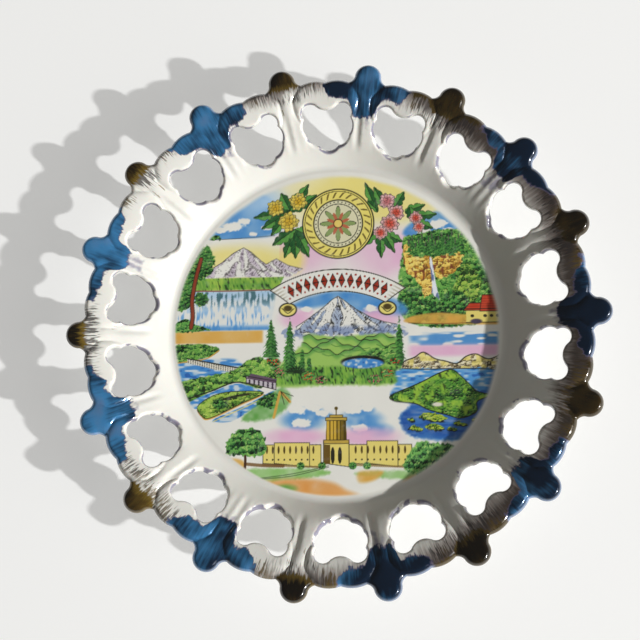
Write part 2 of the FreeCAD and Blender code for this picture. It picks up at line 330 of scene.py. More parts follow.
def casting_mesh():
    """The whole glazed casting as points, triangles, facts about each point and two open rings."""
    flat, triangles, marks, hole, edge = build_sector()
    to_hole = distance_to(flat, hole, True)
    to_edge = distance_to(flat, edge)
    depth = np.minimum(to_hole / HOLE_LIP, to_edge / EDGE_LIP)
    depth[marks["outline"]] = 0
    half = WALL / 2 * np.sqrt(1 - (1 - np.clip(depth, 0, 1)) ** 2)
    stand = relief(flat) * smooth(0, 1, depth)

    # The upper and under surfaces share the points of the outlines; each has its own of the others.
    n = len(flat)
    outline = np.zeros(n, bool)
    outline[marks["outline"]] = True
    under = np.flatnonzero(~outline)
    per_sector = n + len(under)
    under_index = np.arange(n)
    under_index[under] = n + np.arange(len(under))
    both = np.concatenate([np.arange(n), under])
    is_under = np.arange(per_sector) >= n
    local = flat[both]
    height = np.concatenate([half + stand, (UNDER_RELIEF * stand - half)[under]])
    groove = flute(local) * smooth(0, 1, depth[both]) * ~is_under
    fact = np.column_stack([to_hole[both], to_edge[both], knob_frame(local)[1], is_under])
    side = smooth(0.2, 0.8, np.random.default_rng(5).uniform(0, 1, KNOBS))
    press = DEEPEST_FLUTE * np.stack([side, 1 - side])
    points, faces, facts = [], [], []
    for k in range(KNOBS):
        plan = turned(local, PITCH * k + HALF_PITCH)
        pressed = np.where(local[:, 1] > 0, press[0, (k + 1) % KNOBS], press[1, k])
        radius = np.linalg.norm(plan, axis=1)
        z, slope = section(radius)
        lift = height - WALL / 2 - groove * pressed
        outward = (plan / radius[:, None]) * (-np.sin(slope) * lift)[:, None]
        points.append(np.column_stack([plan + outward, z + np.cos(slope) * lift]))
        faces += [triangles + per_sector * k, under_index[triangles][:, ::-1] + per_sector * k]
        facts.append(fact)
    points, faces, facts = (np.concatenate(x) for x in (points, faces, facts))

    weld = np.arange(len(points))
    for k in range(KNOBS):
        here, there = per_sector * k, per_sector * ((k + 1) % KNOBS)
        for table in (np.arange(n), under_index):
            weld[there + table[marks["lower"]]] = here + table[marks["upper"]]
    weld = weld[weld]
    first = np.unique(weld)
    renumber = np.full(len(points), -1)
    renumber[first] = np.arange(len(first))
    ring = np.concatenate([[marks["lower"][-1]], marks["floor"]])
    rings = []
    for table in (ring, under_index[ring]):
        rings.append(np.concatenate([renumber[weld[table + per_sector * k]] for k in range(KNOBS)]))
    return points[first], renumber[weld[faces]], facts[first], rings


def close_floor(points, faces, facts, ring, under):
    """Fills in the floor inside a ring of points with smaller and smaller rings."""
    faces = [tuple(f) for f in faces]
    way = 1 if under else -1
    z = points[ring[0], 2]
    angles = np.arctan2(points[ring, 1], points[ring, 0])
    bearing = np.column_stack([np.cos(angles), np.sin(angles)])
    follower = np.roll(np.arange(len(ring)), -1)
    previous = ring
    for radius in np.linspace(FLOOR_RADIUS, 0, FLOOR_RINGS + 2)[1:-1]:
        current = len(points) + np.arange(len(ring))
        points = np.concatenate([points, np.column_stack([bearing * radius, np.full(len(ring), z)])])
        for i, j in enumerate(follower):
            faces.append((previous[i], previous[j], current[j], current[i])[::way])
        previous = current
    centre = len(points)
    points = np.concatenate([points, [[0, 0, z]]])
    for i, j in enumerate(follower):
        faces.append((previous[i], previous[j], centre)[::way])
    extra = np.tile([FAR, FAR, ASIDE, float(under)], (len(points) - len(facts), 1))
    return points, faces, np.concatenate([facts, extra])


def new_mesh(name, points, faces, material):
    """A smooth-shaded object from points in millimetres."""
    mesh = bpy.data.meshes.new(name)
    faces = [tuple(map(int, f)) for f in faces]
    mesh.from_pydata([tuple(p) for p in np.asarray(points) * MM], [], faces)
    mesh.materials.append(material)
    mesh.shade_smooth()
    mesh.update()
    obj = bpy.data.objects.new(name, mesh)
    bpy.context.scene.collection.objects.link(obj)
    return obj


# ---------------------------------------------------------------- materials

class Shading:
    """A new material, and short ways to add nodes to it."""

    def __init__(self, name):
        self.material = bpy.data.materials.new(name)
        self.material.use_nodes = True
        self.tree = self.material.node_tree
        self.place = self.add("TexCoord").outputs["Object"]

    def plug(self, socket, value):
        """Sets a socket to a constant or joins another node's output to it."""
        if isinstance(value, bpy.types.NodeSocket):
            self.tree.links.new(value, socket)
        else:
            socket.default_value = value

    def add(self, kind, inputs=None, **settings):
        node = self.tree.nodes.new("ShaderNode" + kind)
        for name, value in settings.items():
            setattr(node, name, value)
        for key, value in (inputs or {}).items():
            self.plug(node.inputs[key], value)
        return node

    def calculate(self, operation, a, b=0.0, c=0.0):
        return self.add("Math", {0: a, 1: b, 2: c}, operation=operation).outputs[0]

    def times(self, a, b):
        return self.calculate("MULTIPLY", a, b)

    def plus(self, a, b):
        return self.calculate("ADD", a, b)

    def scaled(self, a, factor, more):
        return self.calculate("MULTIPLY_ADD", a, factor, more)

    def step(self, value, low, high):
        """0 below low, 1 above high (or the other way round when low is the larger)."""
        inputs = {"Value": value, "From Min": low, "From Max": high}
        return self.add("MapRange", inputs, interpolation_type="SMOOTHSTEP").outputs["Result"]

    def mix(self, factor, a, b, share=None):
        """A colour between a and b, where a share limits how much of b there is."""
        inputs = {0: factor if share is None else self.times(factor, share)}
        for key, value in ((6, a), (7, b)):
            inputs[key] = value if isinstance(value, bpy.types.NodeSocket) else (*value, 1)
        return self.add("Mix", inputs, data_type="RGBA").outputs[2]

    def mix_value(self, factor, a, b):
        return self.add("Mix", {0: factor, 2: a, 3: b}, data_type="FLOAT").outputs[0]

    def fact(self, name, output="Fac"):
        """A number or vector that the script worked out for each point of the mesh."""
        return self.add("Attribute", attribute_name=name).outputs[output]

    def noise(self, scale, detail=3.0, vector=None):
        """Noise about 0.5, in features per metre unless another vector than the place is given."""
        inputs = {"Vector": vector or self.place, "Scale": scale, "Detail": detail}
        return self.add("TexNoise", inputs).outputs["Fac"]

    def bump(self, height, distance, strength=1.0, under=None):
        inputs = {"Height": height, "Distance": distance, "Strength": strength}
        if under is not None:
            inputs["Normal"] = under
        return self.add("Bump", inputs).outputs["Normal"]

    def glaze_normal(self):
        """The slow ripple and the faint orange peel of a fired glaze."""
        ripple = self.bump(self.noise(55.0, 1.0), 0.0009, 0.35)
        return self.bump(self.noise(420.0, 2.0), 0.00006, 0.35, ripple)

    def finish(self, **values):
        """Sets the shader's inputs, whose names are given with _ for a space."""
        shader = self.tree.nodes["Principled BSDF"]
        for name, value in values.items():
            self.plug(shader.inputs[name.replace("_", " ")], value)
        return self.material


def lustred_porcelain():
    """White glazed porcelain with blue and brown metal lustres brushed over the rim, with painted shade
    towards +X and a painted highlight along the outer edge.
    """
    s = Shading("lustred_porcelain")
    streaks = s.fact("streak", "Vector")
    brush = s.noise(1.0, 4.0, streaks)
    fine = s.noise(3.1, 3.0, streaks)
    patch = s.noise(70.0, 2.0)
    mood = s.scaled(brush, 0.25, s.times(patch, 0.75))
    # Painted shade: east_shade grows towards +X, where the rim's upper side faces away from the lamps, and
    # darkens the lustres there.
    east_shade = s.fact("east_shade")
    # Painted highlight along the outer edge, where the lustre also runs thinner and paler.
    thin_edge_and_highlight = s.step(s.fact("edge_distance"), 0.8, 0.2)

    # How deep a point lies in each painted area, with the edges roughened by strokes and by blots.
    ragged = s.scaled(fine, 5.0, s.scaled(brush, 9.0, -4.5))
    ragged = s.calculate("SUBTRACT", ragged, 2.5)
    blots = s.scaled(s.noise(260.0, 2.0), 5.0, -2.5)
    brown_at = s.scaled(ragged, 0.6, s.fact("brown_reach"))
    blue_at = s.plus(s.scaled(ragged, 0.2, s.fact("blue_reach")), blots)
    # The wash's reach varies by arch as brushwork, and it reaches further in towards +X as painted shade.
    wash_and_shade_at = s.scaled(ragged, 0.8, s.fact("wash_and_shade_reach"))
    stroke_at = s.fact("stroke_reach")
    brown = s.step(brown_at, -0.5, 0.7)
    blue = s.step(blue_at, -0.3, 0.5)
    wash = s.times(s.step(wash_and_shade_at, -2.0, 3.5), 0.8)
    smear = s.step(s.plus(s.fact("smear_reach"), blots), -0.6, 1.4)
    dabs = s.step(s.plus(s.fact("dab_reach"), ragged), 0.2, 1.0)

    # Hairs of a nearly dry brush, which break up in patches towards -X and run unbroken towards +X as part
    # of the painted shade there.
    hairs = s.scaled(stroke_at, 0.028, s.noise(1.7, 2.0, streaks))
    dry = s.times(s.step(hairs, 0.50, 0.62), s.step(stroke_at, -2.5, 1.0))
    dry = s.times(dry, s.mix_value(east_shade, s.step(s.noise(130.0, 1.0), 0.36, 0.50), 1.0))

    white = s.mix(patch, (0.73, 0.715, 0.655), (0.78, 0.77, 0.72))
    gold = s.mix(fine, (0.28, 0.19, 0.03), (0.14, 0.085, 0.016))
    # Painted shade: the gold darkens towards +X.
    gold = s.mix(east_shade, gold, (0.050, 0.034, 0.016), 0.8)
    bronze = s.mix(s.step(mood, 0.42, 0.66), (0.010, 0.007, 0.004), (0.105, 0.064, 0.012))
    browns = s.mix(s.step(brown_at, 0.6, 3.4), gold, bronze)
    # Painted highlight: pale gold along the outer edge.
    browns = s.mix(thin_edge_and_highlight, browns, (0.32, 0.25, 0.12), 0.5)
    # Painted shade: the browns darken towards +X.
    browns = s.mix(east_shade, browns, (0.012, 0.009, 0.006), 0.7)
    # The blues are lighter in random patches, and darker towards +X as painted shade.
    thin = s.calculate("SUBTRACT", mood, s.times(east_shade, 0.26))
    blues = s.mix(s.step(thin, 0.30, 0.56), (0.006, 0.017, 0.040), (0.052, 0.225, 0.46))
    bloom = s.times(s.step(patch, 0.56, 0.70), s.scaled(east_shade, -0.4, 0.4))
    blues = s.mix(bloom, blues, (0.17, 0.20, 0.30))
    blues = s.mix(s.step(blue_at, 0.0, 1.0), (0.13, 0.115, 0.20), blues)
    # Painted highlight: pale blue along the outer edge.
    blues = s.mix(thin_edge_and_highlight, blues, (0.45, 0.55, 0.75), 0.45)

    colour = s.mix(wash, white, s.mix(fine, (0.11, 0.08, 0.06), (0.44, 0.38, 0.36)))
    # Near-black where the wash reaches far, mostly towards +X: painted shade over the wash.
    deep_wash_and_shade = s.mix(fine, (0.026, 0.019, 0.016), (0.10, 0.075, 0.062))
    colour = s.mix(s.step(wash_and_shade_at, 1.5, 7.5), colour, deep_wash_and_shade, 0.95)
    hair_colour = s.mix(s.step(patch, 0.45, 0.65), (0.040, 0.033, 0.032), (0.12, 0.08, 0.025))
    colour = s.mix(dry, colour, hair_colour, 0.85)
    colour = s.mix(dabs, colour, gold, 0.75)
    colour = s.mix(smear, colour, (0.19, 0.17, 0.27), 0.72)
    colour = s.mix(brown, colour, browns)
    colour = s.mix(blue, colour, blues)
    # Purple-grey dashes along the piercings' edges: lustre left on the edges, and painted shade at the edge.
    hole_edge_lustre_and_shade = s.times(s.step(s.fact("hole_distance"), 1.0, 0.35), s.step(s.noise(190.0, 2.0), 0.48, 0.55))
    colour = s.mix(hole_edge_lustre_and_shade, colour, (0.15, 0.135, 0.22), 0.85)

    metal = s.calculate("MAXIMUM", s.times(brown, 0.25), s.times(blue, 0.25))
    metal = s.calculate("MAXIMUM", metal, s.times(wash, 0.15))
    roughness = s.mix_value(metal, s.scaled(patch, 0.06, 0.09), 0.2)
    return s.finish(Base_Color=colour, Metallic=metal, Roughness=roughness, Coat_Weight=0.25,
                    Coat_Roughness=0.06, Subsurface_Weight=0.08, Subsurface_Scale=0.002,
                    Normal=s.glaze_normal())


def bare_porcelain():
    """The unglazed ring that the plate stands on, fired matt, with a few dark specks."""
    s = Shading("bare_porcelain")
    cloud = s.noise(90.0, 3.0)
    clay = s.mix(cloud, (0.66, 0.63, 0.56), (0.76, 0.74, 0.69))
    colour = s.mix(s.step(s.noise(900.0, 1.0), 0.73, 0.78), clay, (0.20, 0.15, 0.10), 0.5)
    return s.finish(Base_Color=colour, Roughness=s.scaled(cloud, 0.2, 0.6),
                    Normal=s.bump(s.noise(1500.0, 2.0), 0.00005, 0.6))


def floor_paper():
    """Pale paper with a little light of its own, as on a light table, which keeps shadows pale."""
    s = Shading("pale_paper")
    colour = s.mix(s.noise(3.0, 2.0), (0.58, 0.58, 0.57), (0.62, 0.62, 0.61))
    return s.finish(Base_Color=colour, Roughness=0.85, Specular_IOR_Level=0.2,
                    Emission_Color=(1.0, 1.0, 0.99, 1), Emission_Strength=0.38)


def lustre_facts(points, facts):
    """How deep each point lies inside the painted areas, in millimetres, and its brush direction."""
    radius = np.hypot(points[:, 0], points[:, 1])
    turn = np.degrees(np.arctan2(points[:, 1], points[:, 0]))
    two = 2 * math.degrees(PITCH)
    off_blue = np.abs((turn + two / 2) % two - two / 2)
    off_brown = two / 2 - off_blue
    to_hole, to_edge, beside, is_under = facts.T
    wrap = 3.0 - to_edge
    hand = np.random.default_rng(7).uniform(-1, 1, (4, KNOBS))
    nearest = np.round(turn / math.degrees(PITCH)).astype(int) % KNOBS
    arch = np.floor(turn / math.degrees(PITCH)).astype(int) % KNOBS
    start = hand[0][nearest] * 1.8
    blue_start = 85.0 + start + 6.6 * smooth(2.2, 4.6, off_blue) + 3.4 * smooth(7.5, 11.4, off_blue)
    blue = np.minimum((11.4 + hand[1][nearest] * 1.4 - off_blue) * 1.7, radius - blue_start)
    across = (9.6 + hand[1][nearest] * 1.2 - off_brown) * 1.7
    east = points[:, 0] / TIP_RADIUS
    brown = np.minimum(across, radius - 94.5 - start + 3.0 * east - 3.4 * smooth(2.8, 5.0, off_brown))
    stroke = np.minimum(across, radius - 90.0 - start + 2.0 * east - 2.0 * smooth(3.0, 7.0, off_brown))
    # The wash's reach varies by arch as brushwork and grows towards +X as painted shade.
    wash = radius - 92.5 + 2.5 * hand[2][arch] + 10.0 * east
    dab = np.minimum(1.6 - np.abs(beside - 2.2), 2.0 - np.abs(radius - 88.5 - 2 * hand[3][nearest]))
    dab = np.minimum(dab, (6.0 - off_brown) * 2) - 1.6
    smear = np.minimum(2.4 - np.abs(beside - 1.2), 4.4 - np.abs(radius - 85.0 + 2 * hand[3][nearest]))
    smear = np.minimum(smear, (6.0 - off_blue) * 2) - 1.4 + hand[2][nearest]
    under = is_under > 0.5
    bearing = points[:, :2] / np.maximum(radius, 1)[:, None]
    streak = np.column_stack([bearing * 95.0, radius * 0.13])
    return {
        "blue_reach": np.where(under, np.minimum(blue, wrap), blue),
        "brown_reach": np.where(under, np.minimum(brown, wrap), brown),
        "wash_and_shade_reach": np.where(under, np.minimum(wash, wrap - 2), wash),
        "stroke_reach": np.where(under, np.minimum(stroke, wrap - 2), stroke),
        "dab_reach": np.where(under, -9.0, dab),
        "smear_reach": np.where(under, -9.0, smear),
        "edge_distance": to_edge,
        # Painted shade towards +X, where the rim faces away from the lamps.
        "east_shade": 0.5 + 0.5 * east,
        "hole_distance": to_hole,
        "streak": streak,
    }


def add_facts(obj, table):
    for name, values in table.items():
        values = np.asarray(values, np.float32)
        kind, field = ("FLOAT", "value") if values.ndim == 1 else ("FLOAT_VECTOR", "vector")
        layer = obj.data.attributes.new(name, kind, "POINT")
        layer.data.foreach_set(field, values.ravel())


def make_casting():
    points, faces, facts, rings = casting_mesh()
    for under, ring in enumerate(rings):
        points, faces, facts = close_floor(points, faces, facts, ring, under)
    obj = new_mesh("porcelain_body", points, faces, lustred_porcelain())
    add_facts(obj, lustre_facts(points, facts))
    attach(obj, "root")
    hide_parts("well_floor", "curved_wall", "rim_ribs", "rim_arches", "blue_knobs", "brown_knobs")


# ---------------------------------------------------------------- the picture on the floor

# Colours of the picture's inks, as displayed, from 0 to 255.
PAPER, GLAZE_WHITE = (240, 239, 232), (230, 228, 221)
INK = (34, 34, 28)
LEAF, DEEP_LEAF, LIME = (108, 172, 84), (34, 88, 48), (172, 204, 92)
BLUE, DEEP_BLUE, PALE_BLUE = (84, 152, 214), (38, 88, 168), (178, 210, 238)
YELLOW, OCHRE, STRAW = (242, 228, 138), (226, 178, 88), (238, 222, 132)
PINK, MAUVE, ROSE = (236, 190, 218), (196, 182, 206), (206, 116, 120)
RED, BRICK, BARK, ROCK = (214, 68, 44), (170, 62, 42), (128, 66, 46), (232, 228, 214)


def soft_noise(x, y, size, seed):
    """Smooth noise from 0 to 1 whose features are about size across."""
    table = np.random.default_rng(seed).random((64, 64))
    u, v = x / size + 512, y / size + 512
    i, j = np.floor(u).astype(int), np.floor(v).astype(int)
    fu, fv = smooth(0, 1, u - i), smooth(0, 1, v - j)
    i, j, i1, j1 = i % 64, j % 64, (i + 1) % 64, (j + 1) % 64
    low = table[i, j] * (1 - fu) + table[i1, j] * fu
    high = table[i, j1] * (1 - fu) + table[i1, j1] * fu
    return low * (1 - fv) + high * fv


def tufts(x, y, size, seed):
    """For each point the nearest of many scattered tufts: the offset from it, the gap to the next
    nearest one and a number of its own, from 0 to 1."""
    table = np.random.default_rng(seed).random((64, 64, 3))
    u, v = x / size + 512, y / size + 512
    i, j = np.floor(u).astype(int), np.floor(v).astype(int)
    best = np.full(x.shape, 9.0)
    second, east, north, own = best.copy(), best.copy(), best.copy(), best.copy()
    for di in (-1, 0, 1):
        for dj in (-1, 0, 1):
            spot = table[(i + di) % 64, (j + dj) % 64]
            ex = u - (i + di + 0.15 + 0.7 * spot[..., 0])
            ey = v - (j + dj + 0.15 + 0.7 * spot[..., 1])
            gap = np.hypot(ex, ey)
            near = gap < best
            second = np.where(near, best, np.minimum(second, gap))
            best = np.where(near, gap, best)
            east, north = np.where(near, ex, east), np.where(near, ey, north)
            own = np.where(near, spot[..., 2], own)
    return east, north, second - best, own


def curve(points, closed=False):
    """A smooth line through a few points."""
    p = np.array(points, float)
    if closed:
        p = np.concatenate([p[-1:], p, p[:2]])
    else:
        p = np.concatenate([2 * p[:1] - p[1:2], p, 2 * p[-1:] - p[-2:-1]])
    t = np.linspace(0, 1, 7)[:-1, None]
    runs = []
    for a, b, c, d in zip(p, p[1:], p[2:], p[3:]):
        runs.append(0.5 * (2 * b + (c - a) * t + (2 * a - 5 * b + 4 * c - d) * t ** 2
                           + (3 * b - a - 3 * c + d) * t ** 3))
    line = np.concatenate(runs)
    return line if closed else np.concatenate([line, p[-2:-1]])


def between(dark, light, shade):
    """Colours from dark to light as shade goes from 0 to 1."""
    return np.asarray(dark) + (np.asarray(light, float) - np.asarray(dark)) * shade


class Picture:
    """Inks laid one over another on points x, y, in millimetres from the picture's centre."""

    def __init__(self, x, y):
        self.x, self.y = x, y
        self.ink_colour = np.ones((len(x), 3)) * PAPER

    def lay(self, colour, cover, part=slice(None)):
        """Lays an ink over all the points, or over the part of them that cover is given for."""
        cover = np.clip(cover, 0, 1)[:, None]
        self.ink_colour[part] += (np.asarray(colour, float) - self.ink_colour[part]) * cover

    def under(self, cover):
        """The points that a cover reaches, and where they are."""
        part = np.flatnonzero(cover > 0.01)
        return part, self.x[part], self.y[part]

    def window(self, points, margin):
        """The points in the box round some others, and where they are."""
        low, high = np.min(points, 0) - margin, np.max(points, 0) + margin
        return self.under((self.x > low[0]) & (self.x < high[0]) & (self.y > low[1]) & (self.y < high[1]))

    def area(self, points, soft=0.18, ragged=0.0, seed=1, curved=True):
        """How far each point is covered by a closed outline, with a soft or ragged edge."""
        line = curve(points, True) if curved else np.array(points, float)
        part, x, y = self.window(line, soft + ragged + 0.5)
        spots = np.column_stack([x, y])
        depth = distance_to(spots, line, True) * np.where(inside(spots, line), 1, -1)
        if ragged:
            depth = depth + (soft_noise(x, y, 0.9, seed) - 0.5) * 2 * ragged
        cover = np.zeros(len(self.x))
        cover[part] = smooth(-soft, soft, depth)
        return cover

    def panel(self, points):
        """Cover of a straight-sided outline."""
        return self.area(points, 0.1, curved=False)

    def band(self, top, bottom, soft=0.3):
        """Cover between two heights."""
        return smooth(-soft, soft, top - self.y) * smooth(-soft, soft, self.y - bottom)

    def spot(self, x, y, half_width, half_height, soft=0.3):
        """Cover of an oval."""
        reach = np.hypot((self.x - x) / half_width, (self.y - y) / half_height)
        return 1 - smooth(1 - soft, 1 + soft, reach)

    def line(self, points, width=0.42, colour=INK, strength=0.92, curved=True, closed=False):
        """A pen line."""
        line = curve(points, closed) if curved else np.array(points, float)
        part, x, y = self.window(line, width)
        gap = distance_to(np.column_stack([x, y]), line, closed and not curved)
        self.lay(colour, strength * smooth(width / 2 + 0.13, width / 2 - 0.13, gap), part)

    def border(self, points, width=0.3):
        """A thin straight-sided pen outline."""
        self.line(points, width, INK, 0.8, False, True)

    def wash(self, colour, cover, size=3.0, seed=1, depth=0.5):
        """A watery tone that comes and goes."""
        self.lay(colour, cover * (1 - depth + depth * soft_noise(self.x, self.y, size, seed)))

    def foliage(self, cover, size, light, dark, seed, pen=0.8):
        """Ruffled tufts, light above and dark below, parted by pen strokes."""
        part, x, y = self.under(cover)
        cover = cover[part]
        x = x + size * 0.5 * (soft_noise(x, y, size * 0.28, seed + 300) - 0.5)
        y = y + size * 0.7 * (soft_noise(x, y, size * 0.24, seed + 301) - 0.5)
        east, north, gap, own = tufts(x, y, size, seed)
        clump = soft_noise(x, y, size * 2.6, seed + 302) - 0.5
        shade = smooth(-0.55, 0.42, north - 0.35 * east + 0.5 * (own - 0.5) + 0.7 * clump)
        edge = smooth(0.26, 0.06, gap) * smooth(0.1, -0.2, north) * smooth(0.25, -0.15, clump)
        scribble = soft_noise(x * 1.3, y, 0.52, seed + 303)
        strokes = smooth(0.44, 0.64, scribble) * smooth(0.80, 0.15, shade)
        stipple = smooth(0.60, 0.80, scribble) * smooth(0.55, 0.95, shade)
        self.lay(between(dark, light, shade[:, None]), cover, part)
        self.lay(np.asarray(dark) * 0.38, cover * pen * strokes, part)
        self.lay((236, 238, 150), cover * 0.5 * stipple, part)
        self.lay(INK, cover * edge * pen, part)

    def grass(self, cover, light, dark, seed, height=1.6):
        """Upright blades in patches."""
        part, x, y = self.under(cover)
        blades = soft_noise(x + 0.25 * y, y * 0.5 / height, 0.5, seed)
        patches = soft_noise(x, y, 3.0, seed + 1)
        shade = np.clip(0.25 + blades * 0.75 + (patches - 0.5) * 0.6, 0, 1)[:, None]
        self.lay(between(dark, light, shade), cover[part], part)
        self.lay(INK, cover[part] * smooth(0.3, 0.18, blades) * 0.6, part)

    def water(self, cover, colour, seed, length=5.0):
        """Level ripples."""
        part, x, y = self.under(cover)
        ripples = soft_noise(x / length, y / 0.8, 1.0, seed)
        self.lay(between(colour, PAPER, smooth(0.45, 0.85, ripples)[:, None] * 0.8), cover[part], part)
        self.lay(DEEP_BLUE, cover[part] * smooth(0.25, 0.1, ripples) * 0.6, part)

    def clouds(self, places, rim=BLUE):
        """Ruffled puffs given as x, y and half width, white with a tinted lower side."""
        ruffle = 0.55 * (soft_noise(self.x, self.y, 1.5, 11) - 0.5)
        ruffle = ruffle + 0.3 * (soft_noise(self.x, self.y, 0.7, 12) - 0.5)
        for x, y, half in places:
            self.lay(rim, 0.55 * self.spot(x + 0.15 * half, y - 0.3 * half, half, half * 0.5, 0.4))
        for x, y, half in places:
            reach = np.hypot((self.x - x) / half, (self.y - y) / half / 0.46)
            self.lay(PAPER, smooth(1.15, 0.75, reach + ruffle))

    def fir(self, x, base, height, half_width, seed):
        """A fir with drooping tiers."""
        part, px, py = self.window([(x - half_width, base), (x + half_width, base + height)], 0.6)
        px, py = px - x, py - base
        up = py / height
        tiers = (py * 0.75 + np.abs(px) * 0.5 + seed * 0.37) % 1.0
        reach = half_width * np.clip(1 - up, 0, 1) ** 0.75 * (1.05 - 0.4 * tiers)
        ragged = (soft_noise(px, py, 0.7, seed) - 0.5) * 0.9
        ragged = ragged + (soft_noise(px, py, 1.7, seed + 40) - 0.5) * 1.3 * (1 - up)
        cover = smooth(-0.2, 0.25, reach - np.abs(px) + ragged) * smooth(-0.2, 0.2, py)
        cover = cover * smooth(1.02, 0.98, up)
        speckle = soft_noise(px, py, 0.6, seed + 41)
        shade = np.clip(0.35 - 0.35 * px / half_width - 0.4 * tiers + 0.7 * speckle, 0, 1)[:, None]
        self.lay(between(DEEP_LEAF, LEAF, shade), cover, part)
        self.lay(INK, cover * smooth(0.70, 0.95, tiers + 0.3 * (0.5 - speckle)) * 0.75, part)

    def peak(self, points, summit, seed, shadow=MAUVE, rock=(120, 122, 140), ink=0.8):
        """A snowy mountain whose ridges and screes run down from its summit."""
        cover = self.area(points, 0.2, 0.25, seed, False)
        part, x, y = self.under(cover)
        cover = cover[part]
        px, py = x - summit[0], summit[1] - y
        fan = px / (1.1 * np.maximum(py, 0) + 2.0)
        bend = soft_noise(px, py, 2.6, seed + 5) * 0.5
        ridges = soft_noise(fan * 7 + bend, py * 0.22 + bend, 1.0, seed)
        nicks = soft_noise(px * 1.5 + 0.9 * py * np.sign(px), py * 0.8, 0.55, seed + 1)
        self.lay(PAPER, cover, part)
        self.lay(shadow, cover * smooth(0.42, 0.68, ridges) * 0.8, part)
        self.lay(rock, cover * smooth(0.55, 0.72, nicks) * smooth(0.3, 0.6, ridges) * 0.9, part)
        creases = smooth(0.07, 0.02, np.abs(ridges - 0.5)) * smooth(0.3, 0.6, nicks + 0.15)
        self.lay(INK, cover * np.maximum(creases * ink, smooth(0.78, 0.9, nicks) * ink), part)
        top = [p for p in points if p[1] > min(q[1] for q in points) + 0.8]
        self.line(top, 0.3, INK, 0.6, False)

    def blossom(self, x, y, size, petal, heart, seed):
        """A ruffled blossom with shaded petals."""
        part, px, py = self.window([(x - size, y - size), (x + size, y + size)], 0.8)
        px, py = px - x, py - y
        turn, reach = np.arctan2(py, px), np.hypot(px, py)
        limit = size * (0.86 + 0.14 * np.cos(7 * turn + seed) * np.cos(3 * turn + 2 * seed))
        cover = smooth(-0.16, 0.16, limit - reach)
        _, north, gap, own = tufts(px, py, 0.33 * size, seed)
        shade = smooth(-0.5, 0.5, north + 0.6 * (own - 0.5))[:, None]
        tone = np.asarray(petal) * (0.80 + 0.20 * shade)
        self.lay(between(tone, heart, smooth(0.75, 0.15, reach / size)[:, None] * 0.8), cover, part)
        outline = smooth(0.3, 0.06, limit - reach) * 0.85
        self.lay(INK, cover * np.maximum(smooth(0.2, 0.05, gap) * 0.55, outline), part)

    def leaf(self, root, tip, width, seed, teeth=0):
        """A leaf from root to tip, darker on one side of its vein, with a toothed or plain edge."""
        root, tip = np.array(root, float), np.array(tip, float)
        span = tip - root
        length = np.hypot(*span)
        part, x, y = self.window([root, tip], width)
        dx, dy = x - root[0], y - root[1]
        along = (dx * span[0] + dy * span[1]) / length ** 2
        aside = (dy * span[0] - dx * span[1]) / length
        full = np.clip(np.sin(np.pi * np.clip(along, 0, 1) ** 0.8), 0, 1) ** 0.8
        if teeth:
            full = full * (0.62 + 0.38 * np.abs(np.cos(np.pi * along * teeth)) ** 0.7)
        margin = width * full - np.abs(aside)
        cover = smooth(-0.15, 0.15, margin) * (along > 0) * (along < 1)
        ribs = soft_noise(along * length * 1.1 - np.abs(aside), aside * 0.3, 0.5, seed)
        shade = np.clip(0.55 + 0.35 * np.sign(aside) + 0.5 * (ribs - 0.5), 0, 1)[:, None]
        self.lay(between(DEEP_LEAF, LEAF, shade), cover, part)
        vein = smooth(0.22, 0.06, np.abs(aside))
        self.lay(INK, cover * np.maximum(smooth(0.32, 0.08, margin), vein) * 0.8, part)


def paint_skies(p):
    """The washes round the medallion: yellow above, blue at the sides and pink below."""
    p.wash(YELLOW, p.spot(16, 57, 34, 13, 0.5) * p.band(70, 44, 5.0), 8, 3, 0.3)
    p.wash(PINK, p.spot(-13, 34, 13, 8, 0.6), 5, 4, 0.4)
    p.wash(PINK, p.spot(20, 33, 14, 9, 0.6), 5, 5, 0.4)
    left = p.area([(-53, 40), (-58, 48), (-46, 58), (-30, 59), (-24, 50), (-25, 42)], 1.2)
    p.wash(BLUE, left, 5, 6, 0.35)
    p.wash(PALE_BLUE, p.spot(-32, 56, 10, 5, 0.8), 4, 7, 0.3)
    p.clouds([(-42, 46, 4.5), (-38, 48, 3), (-47, 44.5, 3), (-28, 45, 3), (-34, 42.5, 2)])
    right = p.area([(28, 40), (33, 47), (44, 50), (52, 44), (50, 38)], 1.0)
    p.wash(BLUE, right, 4, 8, 0.35)
    p.clouds([(41, 44.5, 4), (36, 41.5, 3), (46, 42, 2.5)])


